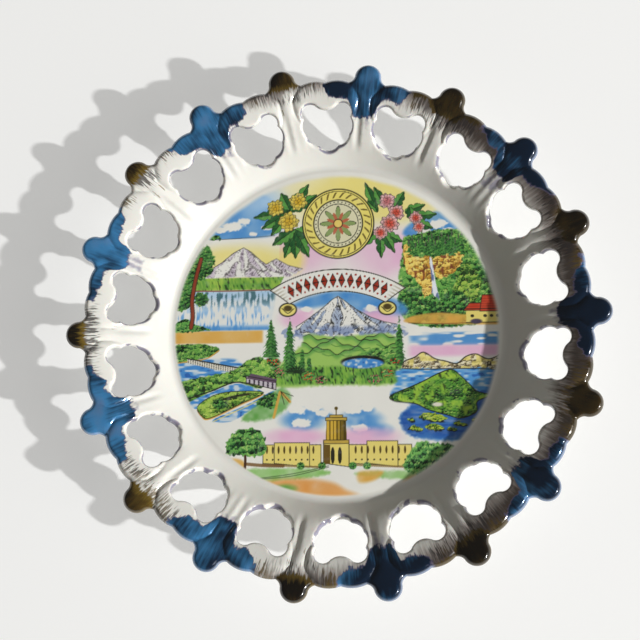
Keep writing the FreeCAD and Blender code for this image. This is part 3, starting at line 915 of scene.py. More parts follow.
def paint_lake(p):
    """Upper left: a pale peak behind a reed bank and a still lake, with a leaning pine."""
    p.lay(PAPER, p.band(40.6, 24, 0.4) * p.band(70, 24) * (p.x < -23))
    p.line([(-50, 40.4), (-36, 40.9), (-25, 41.6)], 0.3, INK, 0.5)
    p.wash(YELLOW, p.spot(-38, 31, 22, 6.5, 0.5) * (p.x < -14), 6, 11, 0.3)
    p.wash(YELLOW, p.spot(-18, 31, 5, 5, 0.6), 6, 11, 0.3)
    hills = [(-54, 24.4), (-52.5, 27.4), (-47, 30.5), (-42, 34.6), (-37.8, 36.8), (-34.5, 34.8),
             (-31, 31.5), (-28.5, 29.6), (-24.2, 31.8), (-19.5, 29), (-13.5, 27.4), (-18, 24.4)]
    p.peak(hills, (-37.8, 36.8), 21, (208, 196, 210), (160, 146, 160), 0.45)
    p.grass(p.band(24.2, 19.2, 0.35) * (p.x < -23.6 + (p.y - 19) * 0.5), LIME, (70, 140, 62), 22)
    p.line([(-63, 19.2), (-44, 18.8), (-27, 19.0)], 0.6, BARK, 0.8)
    lake = p.band(18.6, 2.6, 0.4) * smooth(-23.5, -26, p.x + (18 - p.y) * 0.15)
    p.wash(PALE_BLUE, lake, 5, 23, 0.5)
    hang = 0.6 * soft_noise(p.x, p.y / 5, 0.55, 24) + 0.4 * soft_noise(p.x, p.y / 2, 1.6, 29)
    p.lay(PAPER, lake * smooth(0.38, 0.56, hang) * smooth(17, 13, p.y) * smooth(3, 6, p.y) * 0.9)
    p.lay((60, 104, 110), lake * smooth(0.50, 0.34, hang) * smooth(10.5, 16, p.y) * 0.8)
    p.lay(BLUE, lake * smooth(0.46, 0.3, hang) * smooth(12, 7, p.y) * 0.75)
    p.lay(BLUE, lake * smooth(5.2, 3.2, p.y) * smooth(-59, -52, p.x) * 0.8)
    p.wash(OCHRE, p.band(2.4, -2.6, 0.5) * smooth(-28.8, -30.2, p.x), 4, 25, 0.25)
    p.foliage(p.area([(-66, 2.6), (-65, 6), (-61, 7.4), (-57, 5), (-51, 3.2), (-58, 2.2)], 0.2, 0.4),
              1.6, LEAF, DEEP_LEAF, 26)
    crown = [(-57.5, 31), (-56, 36.5), (-53, 38), (-50.3, 34), (-50, 29), (-52.5, 25), (-56, 24)]
    for outline in (crown, [(-66, 12), (-62.5, 22), (-58, 33), (-56, 31), (-58, 22), (-60, 12)],
                    [(-57.2, 17.5), (-54, 18.2), (-52, 15.5), (-54, 13), (-57.4, 14)],
                    [(-51.5, 41), (-50, 42.5), (-47, 41), (-50, 40)]):
        p.foliage(p.area(outline, 0.2, 0.7, 27), 1.3, (92, 156, 76), DEEP_LEAF, 28)
    trunk = [(-55.4, 32.4), (-57.5, 24), (-58.8, 15), (-58.4, 9), (-59, 4)]
    p.line(trunk, 1.9, INK, 0.9)
    p.line(trunk, 1.3, (150, 70, 46), 1)


def paint_waterfall(p):
    """Upper right: a fall between ochre cliffs with firs above, shrubs below and a small lodge."""
    slope = p.area([(27, 35), (30, 40), (50, 42), (57, 32), (64, 14), (64, 5), (28, 5)], 0.4, 0.4)
    p.foliage(slope, 2.5, (126, 186, 92), (52, 120, 58), 31)
    p.foliage(p.area([(46, 10), (50, 27), (56, 25), (57, 14)], 0.5, 0.8), 2.3, LIME, (80, 140, 60), 32)
    cliffs = ([(27.2, 35), (30, 36.5), (33, 31), (38.4, 31), (38.5, 12), (35.5, 14), (33, 21), (28, 26)],
              [(38.8, 30), (44, 32), (51, 34.5), (50, 28), (45.5, 23.5), (41, 22), (39.6, 24)])
    for i, outline in enumerate(cliffs):
        rock = p.area(outline, 0.2, 0.5, 33 + i)
        p.foliage(rock, 2.4, (250, 224, 124), (216, 162, 66), 35 + i, 0.5)
        p.lay(BARK, rock * smooth(0.70, 0.84, soft_noise(p.x, p.y, 1.1, 37)) * 0.8)
    for i in range(17):
        x = 29.5 + i * 1.32
        top = 38.5 + 1.8 * math.sin(i * 2.1) + 0.12 * i
        p.fir(x, 32.2 + 0.9 * math.cos(i * 1.7), top - 32, 1.25, 40 + i)
        p.line([(x, top - 0.2), (x, top - 2)], 0.34, (116, 84, 104), 0.7, False)
    fall = [(37.7, 30), (38.6, 30), (39.8, 21), (41.6, 11), (38.2, 10.6), (38.4, 20)]
    p.lay((236, 240, 246), p.area(fall, 0.15, 0.1))
    p.lay((118, 134, 172), p.area(fall, 0.15) * smooth(0.5, 0.3, soft_noise(p.x, p.y / 5, 0.5, 60)))
    p.foliage(p.area([(27, 8), (28, 15), (33, 13), (38, 16), (43, 13), (49, 17), (53, 9)], 0.3, 0.5),
              1.9, (104, 170, 84), DEEP_LEAF, 61)
    p.wash(OCHRE, p.area([(28, 4.6), (30, 7), (40, 8.4), (50, 7.6), (64, 6), (66, 3.4), (45, 3.6)], 0.5),
           3, 62, 0.3)
    p.line([(29, 4.4), (40, 3.9), (52, 4.1)], 0.3, BARK, 0.6)
    walls = [(51.6, 9.6), (66, 9.6), (66, 4.2), (51.6, 4.2)]
    p.lay(STRAW, p.panel(walls))
    low_roof = [(50.6, 9), (53, 12), (57.6, 12), (57.6, 9)]
    high_roof = [(57, 8.6), (58, 15.2), (66.2, 15.2), (66.2, 8.6)]
    for roof in (low_roof, high_roof):
        p.lay((204, 78, 50), p.panel(roof))
        tiles = smooth(0.6, 0.9, np.abs(np.sin(p.y * 3.1)))
        p.lay(BRICK, p.panel(roof) * tiles * 0.7)
        p.border(roof)
    p.line(walls, 0.3, INK, 0.8, False)
    for x in (54, 59, 61.5, 64):
        p.lay(INK, p.spot(x, 6.8, 0.75, 0.6, 0.15) * 0.85)
    p.lay((86, 76, 96), p.spot(55.5, 4.6, 2.2, 1.0, 0.3))


def paint_valley(p):
    """Centre: a snowy mountain over green hills with a pond, firs and garden flowers."""
    p.wash(BLUE, p.area([(-17, 13), (0, 18), (24, 14), (28, 8), (14, 8), (0, 12), (-12, 11)], 1.3),
           4, 71, 0.35)
    p.wash(PINK, p.spot(-16, 7, 6, 3.6, 0.6), 4, 72, 0.3)
    p.wash(PINK, p.spot(17, 6.5, 8, 3.4, 0.6), 4, 73, 0.3)
    p.clouds([(-12, 10.6, 2.6), (14, 10.6, 3.2)], PINK)
    p.peak([(-17, 0), (-16, 3.6), (-10, 7.6), (-4, 12.2), (-1.6, 14.4), (0.8, 15.8), (3.4, 14),
            (8, 10.4), (14, 7), (19, 5.2), (24.4, 4), (24, 0)], (0.8, 15.8), 74, (160, 178, 206))
    p.lay((128, 148, 190), p.band(3.4, -1, 1.2) * p.area([(-17, 4), (24, 4), (24, -2), (-17, -2)])
          * smooth(0.4, 0.6, soft_noise(p.x / 2, p.y, 1.0, 75)) * 0.7)
    meadow = p.area([(-28, -19.4), (-14, -4), (-12, 0.4), (0, -0.6), (14, 0), (23, -0.5), (26, -10),
                     (24, -19.4), (0, -20)], 0.8, 0.3)
    p.lay((168, 206, 110), meadow)
    for i, (height, sway, phase) in enumerate(((-0.8, 1.0, 0.5), (-3.2, 1.4, 2.2), (-6.2, 1.2, 4.4))):
        crest = height + sway * np.sin(p.x * 0.42 + phase) + 0.5 * np.sin(p.x * 1.1 + phase)
        below = smooth(2.8, 0, crest - p.y) * (p.y < crest) * meadow
        p.lay((94, 158, 80), below * 0.75)
        p.lay(INK, meadow * smooth(0.3, 0.1, np.abs(p.y - crest)) * 0.7)
    for i in range(9):
        x, y = -9 + 3.6 * i, -6 - 2.2 * math.sin(i * 2.4)
        p.line([(x, y), (x + 2, y - 0.8), (x + 4.4, y - 0.5)], 0.26, (60, 112, 56), 0.7)
    p.foliage(p.area([(8, -9), (14, -6), (22, -5), (22, -12), (14, -10)], 0.3, 0.5), 1.9,
              (128, 184, 92), (56, 116, 60), 76)
    p.grass(p.band(-12.6, -19.6, 0.9) * meadow, (150, 196, 84), (50, 116, 58), 77, 1.2)
    p.lay(INK, p.spot(10.6, -10.9, 8.6, 2.6, 0.1))
    p.water(p.spot(10.6, -11.5, 8.2, 2.0, 0.1), BLUE, 78, 1.0)
    p.fir(-18.6, -15.4, 22.4, 3.4, 3)
    p.fir(-26.2, -8.6, 15.2, 3.6, 4)
    p.fir(-13.6, -14.6, 9, 2.0, 5)
    p.fir(-10.8, -15.4, 7.4, 1.7, 6)
    p.fir(25.2, -12.6, 20.0, 2.6, 8)
    beds = ((-25.4, -10.6, 3.0, RED), (-23.6, -14.6, 3.0, ROSE), (-11, -16.4, 2.6, RED),
            (-6, -18, 2.4, ROSE), (15.4, -18, 2.8, ROSE), (20.4, -15.4, 2.4, RED), (23.4, -10.6, 2.0, RED))
    for i, (x, y, half, colour) in enumerate(beds):
        bed = p.spot(x, y, half, half * 0.7, 0.25)
        p.foliage(bed, 1.2, LEAF, DEEP_LEAF, 80 + i)
        east, north, _, own = tufts(p.x, p.y, 0.85, 90 + i)
        p.lay(colour, bed * (own > 0.4) * smooth(0.42, 0.25, np.hypot(east, north)))
    for i in range(9):
        turn = math.radians(10 + i * 20)
        tip = (-16 + 4.4 * math.cos(turn), -14.8 + 2.8 * math.sin(turn))
        p.leaf((-16, -15), tip, 0.5, i)


def paint_dam(p):
    """Lower left: wooded banks, a low dam across a river and a canal round an island."""
    river = p.area([(-65, -9), (-50, -9), (-40, -9.5), (-38, -14), (-50, -18), (-64, -19)], 0.8)
    p.water(river, BLUE, 101, 3.0)
    p.foliage(p.area([(-66, -4), (-60, -2.6), (-51, -3.4), (-47.2, -5.4), (-52, -8.2), (-66, -10.5)],
                     0.2, 0.3), 1.5, (122, 178, 84), DEEP_LEAF, 102)
    p.line([(-65.4, -10.6), (-58, -9.6), (-52, -8.6), (-47.4, -5.6)], 0.5, OCHRE, 0.9)
    dam = [(-60.2, -8.6), (-49, -10.8), (-38, -13), (-38, -15), (-49, -13.2), (-60.2, -10.4)]
    p.lay(ROCK, p.area(dam, 0.15, curved=False))
    p.lay((120, 120, 110), p.area(dam, 0.15, curved=False) * (np.sin(p.x * 6.6) > 0.2) * 0.8)
    p.line([(-60.4, -8.6), (-49, -10.8), (-37.6, -13)], 0.5, INK, 0.9)
    bank = [(-63, -18.4), (-52, -15.8), (-42, -13.8), (-34, -9), (-29, -9), (-26, -13), (-24, -18),
            (-32, -21), (-40, -18.6), (-50, -22), (-58.5, -26), (-61, -22)]
    p.foliage(p.area(bank, 0.3, 0.3), 2.4, (150, 198, 92), (70, 132, 64), 103)
    p.line([(-61, -25.4), (-50, -21.8), (-40, -18.4), (-30, -20.8)], 0.55, INK, 0.8)
    canal = [(-59, -26.4), (-50, -22.4), (-40, -19), (-31, -21.4), (-30, -23.4), (-42, -22.6),
             (-54, -28), (-57, -28.8)]
    p.water(p.area(canal, 0.25), BLUE, 104, 2.0)
    cut = [(-49.6, -33.6), (-36, -27.6), (-25, -22), (-23.4, -23), (-34, -29.6), (-42, -34)]
    p.water(p.area(cut, 0.3), BLUE, 105, 2.0)
    island = [(-55.6, -28), (-50, -24), (-42, -22.2), (-29, -22.6), (-38, -27), (-50.4, -32.6),
              (-54, -31.6)]
    p.lay(OCHRE, p.area([(x, y - 0.6) for x, y in island], 0.2))
    p.foliage(p.area(island, 0.2, 0.2), 1.8, LIME, (92, 142, 56), 106)
    p.foliage(p.spot(-46.6, -27, 3.0, 2.0, 0.2), 1.3, LEAF, DEEP_LEAF, 107)
    p.line([(-45, -25.2), (-40, -24), (-35, -23.2)], 0.9, INK, 0.8)
    p.line(island, 0.3, INK, 0.8, True, True)
    p.line([(-49, -34), (-36, -28.2), (-24, -22.4)], 0.4, STRAW, 0.9)
    shore = [(-37.6, -33.6), (-30, -26.4), (-22, -21), (-18, -23.6), (-19.6, -28.6), (-26, -33)]
    p.wash(LEAF, p.area(shore, 0.9, 0.3), 2, 108, 0.4)
    p.foliage(p.area([(-32, -27), (-27, -23), (-23, -24), (-25, -29)], 0.3, 0.4), 1.5, LEAF, DEEP_LEAF, 109)
    for root, tip in (((-24.8, -32.6), (-22.4, -22.6)), ((-21.8, -22.8), (-18.4, -26.4))):
        p.line([root, tip], 1.1, OCHRE, 0.9, False)
    for turn in (-20, -50, -75):
        x, y = 5.2 * math.cos(math.radians(turn)), 5.2 * math.sin(math.radians(turn))
        p.line([(-22, -22.4), (-22 + x, -22.4 + y)], 0.3, INK, 0.7, False)
    walls = [(-36, -18.6), (-24, -21.6), (-24, -18.2), (-36, -16)]
    p.lay((206, 200, 206), p.panel(walls))
    p.lay((70, 60, 76), p.panel(walls) * (np.sin(p.x * 3.4) > 0.35) * (p.y < -17.4))
    roof = [(-36.2, -17), (-34, -15), (-23.6, -17.4), (-24, -19)]
    p.lay((112, 92, 112), p.panel(roof))
    p.border(walls, 0.28)


def paint_island(p):
    """Right: a wooded island cone in a blue lake, under a band of streaked sky and rocky shores."""
    streaks = smooth(0.3, 0.6, soft_noise(p.x / 4, p.y, 1.1, 111))
    p.lay(BLUE, p.band(0.4, -4.8, 0.5) * smooth(28, 31, p.x) * streaks * 0.9)
    p.wash(PINK, p.band(-4.6, -9, 1.2) * smooth(27, 31, p.x), 5, 112, 0.25)
    lake = p.area([(27, -13.4), (66, -13), (66, -30), (58, -40), (44, -42), (29, -40), (25, -33),
                   (29, -28), (21.6, -24.6), (24, -19)], 0.9, 0.3, 113)
    p.water(lake, (96, 164, 220), 114, 3.0)
    p.wash(DEEP_BLUE, lake * p.band(-24, -42, 3.0), 4, 115, 0.55)
    # Painted shade: the lake darkens to deep blue near the picture's rim, at the foot of the wall.
    p.lay((22, 46, 110), lake * smooth(61.5, 65.5, np.hypot(p.x, p.y)) * 0.9)
    shore = [(26.4, -13.6), (27, -11), (31, -9.4), (34.6, -7.4), (39, -10), (43, -11), (47.5, -12),
             (51, -9.4), (55, -8.4), (60, -10.4), (66, -8), (66, -15), (58, -13.8), (44, -14), (34, -13.8)]
    rocks = p.area(shore, 0.2, 0.3, 116)
    p.foliage(rocks, 1.7, (240, 232, 206), (150, 132, 92), 117)
    p.lay(YELLOW, rocks * smooth(0.5, 0.7, soft_noise(p.x, p.y, 2.0, 118)) * 0.8)
    p.line(shore[:11], 0.45, INK, 0.85)
    p.line([(27, -13.8), (36, -14.2), (46, -14), (56, -14.2), (64, -14.6)], 0.4, INK, 0.7)
    cone = [(21.4, -24.4), (28, -21.6), (34, -19), (40, -16), (45.4, -14.4), (49, -17), (52.4, -20.4),
            (55, -23), (60, -24.6), (55, -27), (54.6, -31), (48.6, -33.4), (43, -32), (36, -30),
            (31, -27.6), (23, -26.6)]
    body = p.area(cone, 0.2, 0.2, 119)
    p.grass(body, (178, 210, 80), (112, 168, 66), 122, 1.0)
    lee = smooth(0, 7, p.x - 42 + 0.35 * (p.y + 24)) * 0.16
    p.foliage(body * smooth(0.34, 0.66, soft_noise(p.x, p.y, 2.1, 120) + lee), 1.0, (104, 164, 66),
              (40, 92, 46), 121)
    p.line(cone, 0.42, INK, 0.85, True, True)
    p.lay(ROCK, p.spot(39.6, -28, 2.0, 0.8, 0.4))
    for x, y, half in ((38, -32.6, 5.4), (31.4, -37.2, 3.0), (38.4, -36.6, 3.6), (29.4, -33.8, 1.7),
                       (48.6, -35.4, 2.6), (45.2, -37.4, 1.8), (54.6, -34, 1.6)):
        islet = [(x - half, y), (x - half * 0.4, y + half * 0.3), (x + half * 0.5, y + half * 0.1),
                 (x + half, y - half * 0.2), (x + half * 0.2, y - half * 0.36),
                 (x - half * 0.6, y - half * 0.2)]
        p.lay(INK, p.area([(u, v - 0.4) for u, v in islet], 0.2, 0.5, 124) * 0.85)
        p.foliage(p.area(islet, 0.2, 0.4, 125), 1.0, (190, 208, 76), (96, 150, 60), 126)


def paint_hall(p):
    """Bottom: a long pale hall with a round tower, between a tree, shrubs, lawns and sandy paths."""
    for x, y, half in ((-13, -32, 6.5), (10, -32, 6), (16, -36, 4.4)):
        p.wash(BLUE, p.spot(x, y - 1.8, half * 1.25, half * 0.6, 0.5), 2.5, 131, 0.5)
    p.clouds([(-15, -29.5, 4.2), (-9.6, -28.8, 3.6), (-5, -31, 3.0), (7, -30, 3.4), (11.6, -29, 3.2),
              (-14, -35, 4.0), (9, -37, 3.4)])
    p.wash(PINK, p.spot(-16, -40.4, 12, 3.4, 0.5), 4, 132, 0.3)
    p.wash(PINK, p.spot(12, -40.4, 12, 3.4, 0.5), 4, 133, 0.3)
    blocks = ((-29, -6, -43.4), (-24.5, -10.5, -42.6), (5, 29.4, -43.4), (12, 24, -42.0), (-5, 5, -42.4))
    for left, right, top in blocks:
        block = [(left, top), (right, top), (right, -52), (left, -50.6)]
        p.lay(STRAW, p.panel(block))
        p.border(block)
    for i in range(9):
        for x in (-27.4 + 2.3 * i, 7.6 + 2.4 * i):
            if x < -8 or x > 7:
                p.lay((84, 68, 30), p.spot(x, -45.4, 0.42, 1.5, 0.2) * 0.9)
                p.lay(INK, p.spot(x, -49.2, 0.36, 0.36, 0.3) * 0.9)
    p.lay((120, 96, 40), p.panel([(-5, -43.4), (-2.4, -43.4), (-2.4, -51), (-5, -51)]))
    for x in (-1.4, 1.4):
        p.lay(INK, p.spot(x, -47.6, 0.8, 3.2, 0.1) * 0.9)
    drum = [(-4.2, -42.4), (-3.8, -33.8), (3.8, -33.8), (4.2, -42.4)]
    cover = p.panel(drum)
    p.lay((222, 186, 74), cover)
    p.lay((86, 72, 20), cover * np.clip(smooth(-1, 4.5, p.x) + (np.sin(p.x * 4.4) > 0.4) * 0.6, 0, 1))
    for half, low, high in ((5.0, -43, -41.6), (4.2, -34, -32.8), (2.6, -32.8, -31.8)):
        step = [(-half, low), (-half, high), (half, high), (half, low)]
        p.lay((204, 176, 84), p.panel(step))
        p.border(step, 0.26)
    p.line([(0, -31.8), (0, -29.6)], 0.5, (110, 92, 40), 0.9, False)
    p.lay((110, 92, 40), p.spot(0, -29.2, 0.7, 0.7, 0.2))
    for left, right in ((-29, -5), (5, 29.6)):
        p.line([(left, -51.2), (right, -52.2)], 0.8, (150, 120, 60), 0.7, False)
    p.wash((150, 200, 116), p.area([(-35, -53), (-8, -52.8), (-4, -55), (-30, -58)], 0.7, 0.3), 3, 134, 0.4)
    p.wash((150, 200, 116), p.area([(8, -54.4), (30, -53.6), (34, -57), (14, -56)], 0.8, 0.3), 3, 135, 0.4)
    p.wash(OCHRE, p.area([(-42, -49), (-37, -49.6), (-36, -54), (-40, -53.6)], 0.7), 3, 136, 0.2)
    p.wash(OCHRE, p.area([(9, -54), (18, -53.8), (15, -57), (9, -58)], 1.0), 3, 137, 0.3)
    sweep = [(-31, -58), (-14, -56.6), (-2, -58), (4, -61), (10, -64), (0, -67), (-16, -65), (-28, -60.4)]
    p.wash((230, 166, 92), p.area(sweep, 1.4), 4, 138, 0.25)
    p.wash(LEAF, p.spot(-20, -60.4, 4, 1.6, 0.6), 2, 139, 0.3)
    p.wash((168, 206, 128), p.area([(2, -65), (14, -62.4), (26, -59.6), (22, -63), (8, -66)], 0.9), 2, 140)
    p.wash((230, 166, 92), p.area([(28, -56), (38, -54), (36, -57), (26, -60)], 1.0), 2, 141, 0.3)
    for shift in (0, 1.6):
        p.line([(-36 + shift, -57), (-18, -54.8 - shift / 2), (-3, -51.6 - shift / 3)], 0.28, INK, 0.6)
    p.line([(-36, -50.8), (-29, -51.4), (-21, -51.6)], 1.3, (126, 92, 52), 0.8)
    p.line([(-36.2, -45), (-36, -50), (-36.4, -54.4)], 1.0, (84, 56, 40), 1)
    crown = [(-43, -47), (-43.6, -43), (-41, -38.6), (-35, -36.8), (-29.6, -38.6), (-27.8, -43),
             (-29.6, -47.6), (-36, -47.6)]
    p.foliage(p.area(crown, 0.2, 0.7, 142), 2.6, (116, 180, 92), DEEP_LEAF, 143)
    shrub = [(26, -52), (29, -46), (32, -42.4), (38, -42.8), (45, -44), (47.4, -46.4), (42, -52),
             (36.6, -56), (31, -55)]
    p.foliage(p.area(shrub, 0.3, 0.6, 144), 2.2, (128, 190, 104), (60, 124, 70), 145)
    for x in (-14, -5.6, 6.4, 12):
        p.foliage(p.spot(x, -51.6, 1.5, 1.4, 0.2), 1.0, LEAF, DEEP_LEAF, 146)


def paint_blossoms(p):
    """Garlands either side of the medallion: yellow clusters on the left, pink blooms on the right."""
    root = (-18.5, 51.5)
    for i, tip in enumerate(((-11, 63), (-22.6, 59.6), (-34, 49.2), (-30.6, 44.4), (-26.6, 41.4), (-21, 32),
                             (-16.4, 31.6), (-10.8, 32), (-7.6, 58.4), (-9, 40), (-26, 37.4))):
        p.leaf(root if i < 5 or i == 8 else (-16.6, 44), tip, 2.7, 150 + i, 4)
    for i, (x, y, size) in enumerate(((-24.7, 53.2, 3.9), (-15.4, 55.7, 4.1), (-19.3, 47.2, 4.6))):
        p.blossom(x, y, size, (246, 226, 112), (216, 176, 50), 161 + i)
    for i, (base, tip) in enumerate((
            ((17, 50), (12, 63)), ((20, 52), (15.6, 61)), ((24, 52), (28, 58.6)), ((28, 50), (36.4, 52.8)),
            ((32, 48), (41, 48.8)), ((32, 46), (39.4, 42.8)), ((20, 41), (27, 37.6)), ((18, 42), (18.4, 31)),
            ((17, 43), (11, 36)), ((18, 44), (24, 33)), ((16, 52), (13, 55)), ((30, 52), (31, 46)))):
        p.leaf(base, tip, 2.2, 171 + i, 3)
    for i, (x, y, size) in enumerate(((21, 54.8, 3.7), (24.6, 49.8, 3.7), (22, 45.4, 4.2), (18.2, 41.6, 3.2),
                                      (32.4, 47.4, 3.0), (33.6, 43.6, 2.6))):
        p.blossom(x, y, size, (250, 206, 206), RED if i else ROSE, 191 + i)


def paint_medallion(p):
    """A round medallion at the top: a banded ring of leaves about a plain rosette."""
    x, y = p.x - 1.0, p.y - 45.9
    reach, turn = np.hypot(x, y), np.arctan2(y, x)
    p.lay((240, 226, 128), smooth(14.5, 14.2, reach))
    leaves = np.cos(turn * 26 + (reach - 12) * 1.4)
    p.lay((110, 96, 48), smooth(0.45, 0.8, leaves) * smooth(1.3, 1.0, np.abs(reach - 12.0)) * 0.85)
    p.lay((228, 224, 190), smooth(9.9, 9.6, reach))
    p.lay(INK, smooth(0.4, 0.75, np.cos(turn * 36)) * smooth(0.35, 0.2, np.abs(reach - 9.1)) * 0.8)
    petals = 4.9 + 2.4 * np.cos(turn * 8)
    p.lay((150, 170, 110), smooth(0.2, -0.2, reach - petals))
    p.lay(INK, smooth(0.3, 0.08, np.abs(reach - petals)) * (reach < 8) * 0.8)
    star = 3.3 + 1.6 * np.cos(turn * 8 + math.pi)
    p.lay((196, 116, 84), smooth(0.2, -0.2, reach - star))
    p.lay((236, 212, 120), smooth(1.7, 1.4, reach))
    for ring, width in ((14.5, 0.42), (13.6, 0.24), (9.95, 0.42), (8.2, 0.24), (1.8, 0.24)):
        p.lay(INK, smooth(width, 0.1, np.abs(reach - ring)) * 0.85)


def paint_banner(p):
    """An arched ribbon under the medallion with a row of plain ornament."""
    x, y = p.x - 0.6, p.y + 22.5
    reach, turn = np.hypot(x, y), np.degrees(np.arctan2(x, y))
    for x in (-19.4, 20.6):
        p.lay(INK, p.spot(x, 10.6, 3.7, 2.9, 0.08))
        p.lay(YELLOW, p.spot(x, 10.6, 3.2, 2.4, 0.1))
        p.lay((92, 78, 40), p.spot(x, 11.2, 1.7, 1.2, 0.3))
        p.line([(x - 2.4, 11.2), (x, 9.2), (x + 2.4, 11.0)], 0.3)
    half = 31.4 + (reach - 45) * 0.55
    ribbon = smooth(49.7, 49.5, reach) * smooth(40.1, 40.3, reach) * smooth(0.15, -0.15, np.abs(turn) - half)
    p.lay(PAPER, ribbon)
    p.lay((206, 202, 186), ribbon * smooth(26.5, 30, np.abs(turn)) * (np.sin(reach * 4.5) > 0))
    edge = np.minimum(np.minimum(49.6 - reach, reach - 40.2), (half - np.abs(turn)) * 0.75)
    p.lay(INK, ribbon * smooth(0.5, 0.3, edge) * 0.9)
    step = (turn + 27) % 4.5 - 2.25
    across = np.abs(step) * 0.79
    high = np.abs(reach - 44.9)
    lozenge = across / 1.5 + high / 3.1
    mark = smooth(1.02, 0.92, lozenge) * (np.abs(turn) < 27)
    p.lay(INK, mark)
    p.lay(BRICK, smooth(0.82, 0.72, lozenge) * (np.abs(turn) < 27) * (high > 0.22))
    beads = (np.abs(turn) < 27.5) * smooth(0.5, 0.38, np.hypot(2.25 * 0.79 - across, high - 2.6))
    p.lay(BRICK, beads * ribbon)


def paint_picture(x, y):
    """The colours of the whole picture at points x, y, from 0 to 1 as displayed."""
    p = Picture(x, y)
    for paint in (paint_skies, paint_lake, paint_waterfall, paint_valley, paint_dam, paint_island,
                  paint_hall, paint_blossoms, paint_medallion, paint_banner):
        paint(p)
    grain = soft_noise(x, y, 0.45, 201)
    faded = 0.05 * soft_noise(x, y, 2.2, 202)[:, None] + 0.03 * grain[:, None]
    wobble = 0.9 * soft_noise(x, y, 9.0, 203)
    p.lay(PAPER, smooth(64.0, 66.2, np.hypot(x + 0.9, y - 1.1) + wobble))
    colour = p.ink_colour + (np.asarray(PAPER) - p.ink_colour) * faded
    return np.clip(colour / 255, 0, 1)


def linear(colour):
    """Displayed colours turned into the linear ones that shaders use."""
    return np.where(colour <= 0.04045, colour / 12.92, ((colour + 0.055) / 1.055) ** 2.4)


def disc_grid(count):
    """A square grid of points pressed into a unit disc."""
    line = np.linspace(-1, 1, count)
    a, b = (side.ravel() for side in np.meshgrid(line, line))
    wide = np.abs(a) > np.abs(b)
    reach = np.where(wide, a, b)
    safe = np.where(np.abs(reach) < 1e-9, 1.0, reach)
    turn = np.where(wide, math.pi / 4 * b / safe, math.pi / 2 - math.pi / 4 * a / safe)
    return np.column_stack([reach * np.cos(turn), reach * np.sin(turn)])


def fired_picture():
    """The picture's inks under a gloss glaze, with the faint wear of a fired transfer."""
    s = Shading("fired_picture")
    wear = s.noise(240.0, 4.0)
    colour = s.mix(s.step(wear, 0.55, 0.85), s.fact("ink", "Color"), (0.84, 0.83, 0.79), 0.12)
    return s.finish(Base_Color=colour, Roughness=s.scaled(wear, 0.12, 0.12), Coat_Weight=0.3,
                    Coat_Roughness=0.08, Normal=s.glaze_normal())


def make_picture():
    """The transfer as a thin closed disc whose points carry the painted colours."""
    edge = PICTURE_RADIUS + PICTURE_LAP
    disc = disc_grid(PICTURE_POINTS) * edge
    reach = np.hypot(disc[:, 0], disc[:, 1])
    colours = paint_picture(disc[:, 0], disc[:, 1] + PICTURE_DROP)
    fade = smooth(PICTURE_RADIUS - 0.8, PICTURE_RADIUS + 0.3, reach)[:, None]
    colours = linear((colours + (np.asarray(GLAZE_WHITE) / 255 - colours) * fade) ** INK_CONTRAST)
    thick = EDGE_THICKNESS + (PICTURE_TOP - FLOOR_TOP - EDGE_THICKNESS) * smooth(0, 4, edge - reach)
    top = np.column_stack([turned(disc, VIEW_TURN), section(reach)[0] + thick])
    number = np.arange(PICTURE_POINTS ** 2).reshape(PICTURE_POINTS, PICTURE_POINTS)
    rim = np.concatenate([number[0, :-1], number[:-1, -1], number[-1, :0:-1], number[:0:-1, 0]])
    low = top[rim] * [1, 1, 0] + [0, 0, FLOOR_TOP]
    below = len(top) + np.arange(len(rim))
    corners = (number[:-1, :-1], number[:-1, 1:], number[1:, 1:], number[1:, :-1])
    faces = np.column_stack([c.ravel() for c in corners]).tolist()
    faces += np.column_stack([rim, below, np.roll(below, -1), np.roll(rim, -1)]).tolist()
    faces.append(below[::-1].tolist())
    obj = new_mesh("picture_transfer", np.concatenate([top, low]), faces, fired_picture())
    obj.data.set_sharp_from_angle(angle=math.radians(30))
    rgba = np.ones((len(top) + len(low), 4), np.float32)
    rgba[:, :3] = np.concatenate([colours, colours[rim]])
    layer = obj.data.color_attributes.new("ink", "FLOAT_COLOR", "POINT")
    layer.data.foreach_set("color", rgba.ravel())
    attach(obj, "root")
    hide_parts("picture_film")


# ---------------------------------------------------------------- stage, light and camera

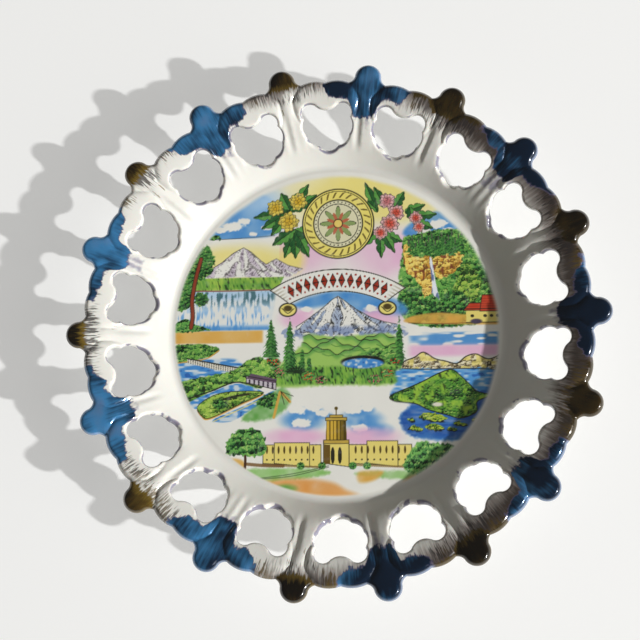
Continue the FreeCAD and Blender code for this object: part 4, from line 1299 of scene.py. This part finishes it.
def make_floor():
    bpy.ops.mesh.primitive_plane_add(size=30.0)
    floor = bpy.context.object
    floor.name = "floor"
    floor.data.materials.append(floor_paper())


def area_light(name, direction, distance, size, power):
    """A square lamp that faces the plate."""
    data = bpy.data.lights.new(name, "AREA")
    data.energy = power
    data.size = size
    lamp = bpy.data.objects.new(name, data)
    bpy.context.scene.collection.objects.link(lamp)
    lamp.location = Vector(direction).normalized() * distance
    lamp.rotation_euler = (-lamp.location).to_track_quat("-Z", "Y").to_euler()


def make_lights():
    """A small low lamp from the right, a wide soft one beside it and a dim warm room."""
    area_light("key", (0.834, -0.349, 0.44), distance=5.5, size=0.1, power=370)
    area_light("window", (0.82, -0.34, 0.46), distance=5.0, size=3.0, power=64)
    world = bpy.data.worlds.new("world")
    world.use_nodes = True
    bpy.context.scene.world = world
    background = world.node_tree.nodes["Background"]
    background.inputs["Color"].default_value = (1.0, 0.975, 0.91, 1)
    background.inputs["Strength"].default_value = 0.15
    bpy.context.scene.view_settings.view_transform = "Standard"


def make_camera():
    """Looks down at the plate a little from the lower right, as its picture is read."""
    away = Vector((math.sin(VIEW_AZIMUTH), -math.cos(VIEW_AZIMUTH), 0)) * math.sin(VIEW_TILT)
    turn = Matrix.Rotation(VIEW_TURN, 4, "Z")
    target = turn @ (Vector(VIEW_TARGET) * MM)
    back = turn @ (away + Vector((0, 0, math.cos(VIEW_TILT))))
    right = (turn @ Vector((0, 1, 0))).cross(back).normalized()
    basis = Matrix((right, back.cross(right), back)).transposed().to_4x4()
    data = bpy.data.cameras.new("camera")
    data.lens = 56.25
    data.sensor_width = 36
    data.dof.use_dof = False
    camera = bpy.data.objects.new("camera", data)
    bpy.context.scene.collection.objects.link(camera)
    camera.matrix_world = Matrix.Translation(target + back * VIEW_DISTANCE * MM) @ basis
    bpy.context.scene.camera = camera


def main():
    make_camera()
    make_lights()
    make_floor()
    make_casting()
    make_picture()
    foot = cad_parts["foot_ring"]
    foot.data.materials.clear()
    foot.data.materials.append(bare_porcelain())


main()
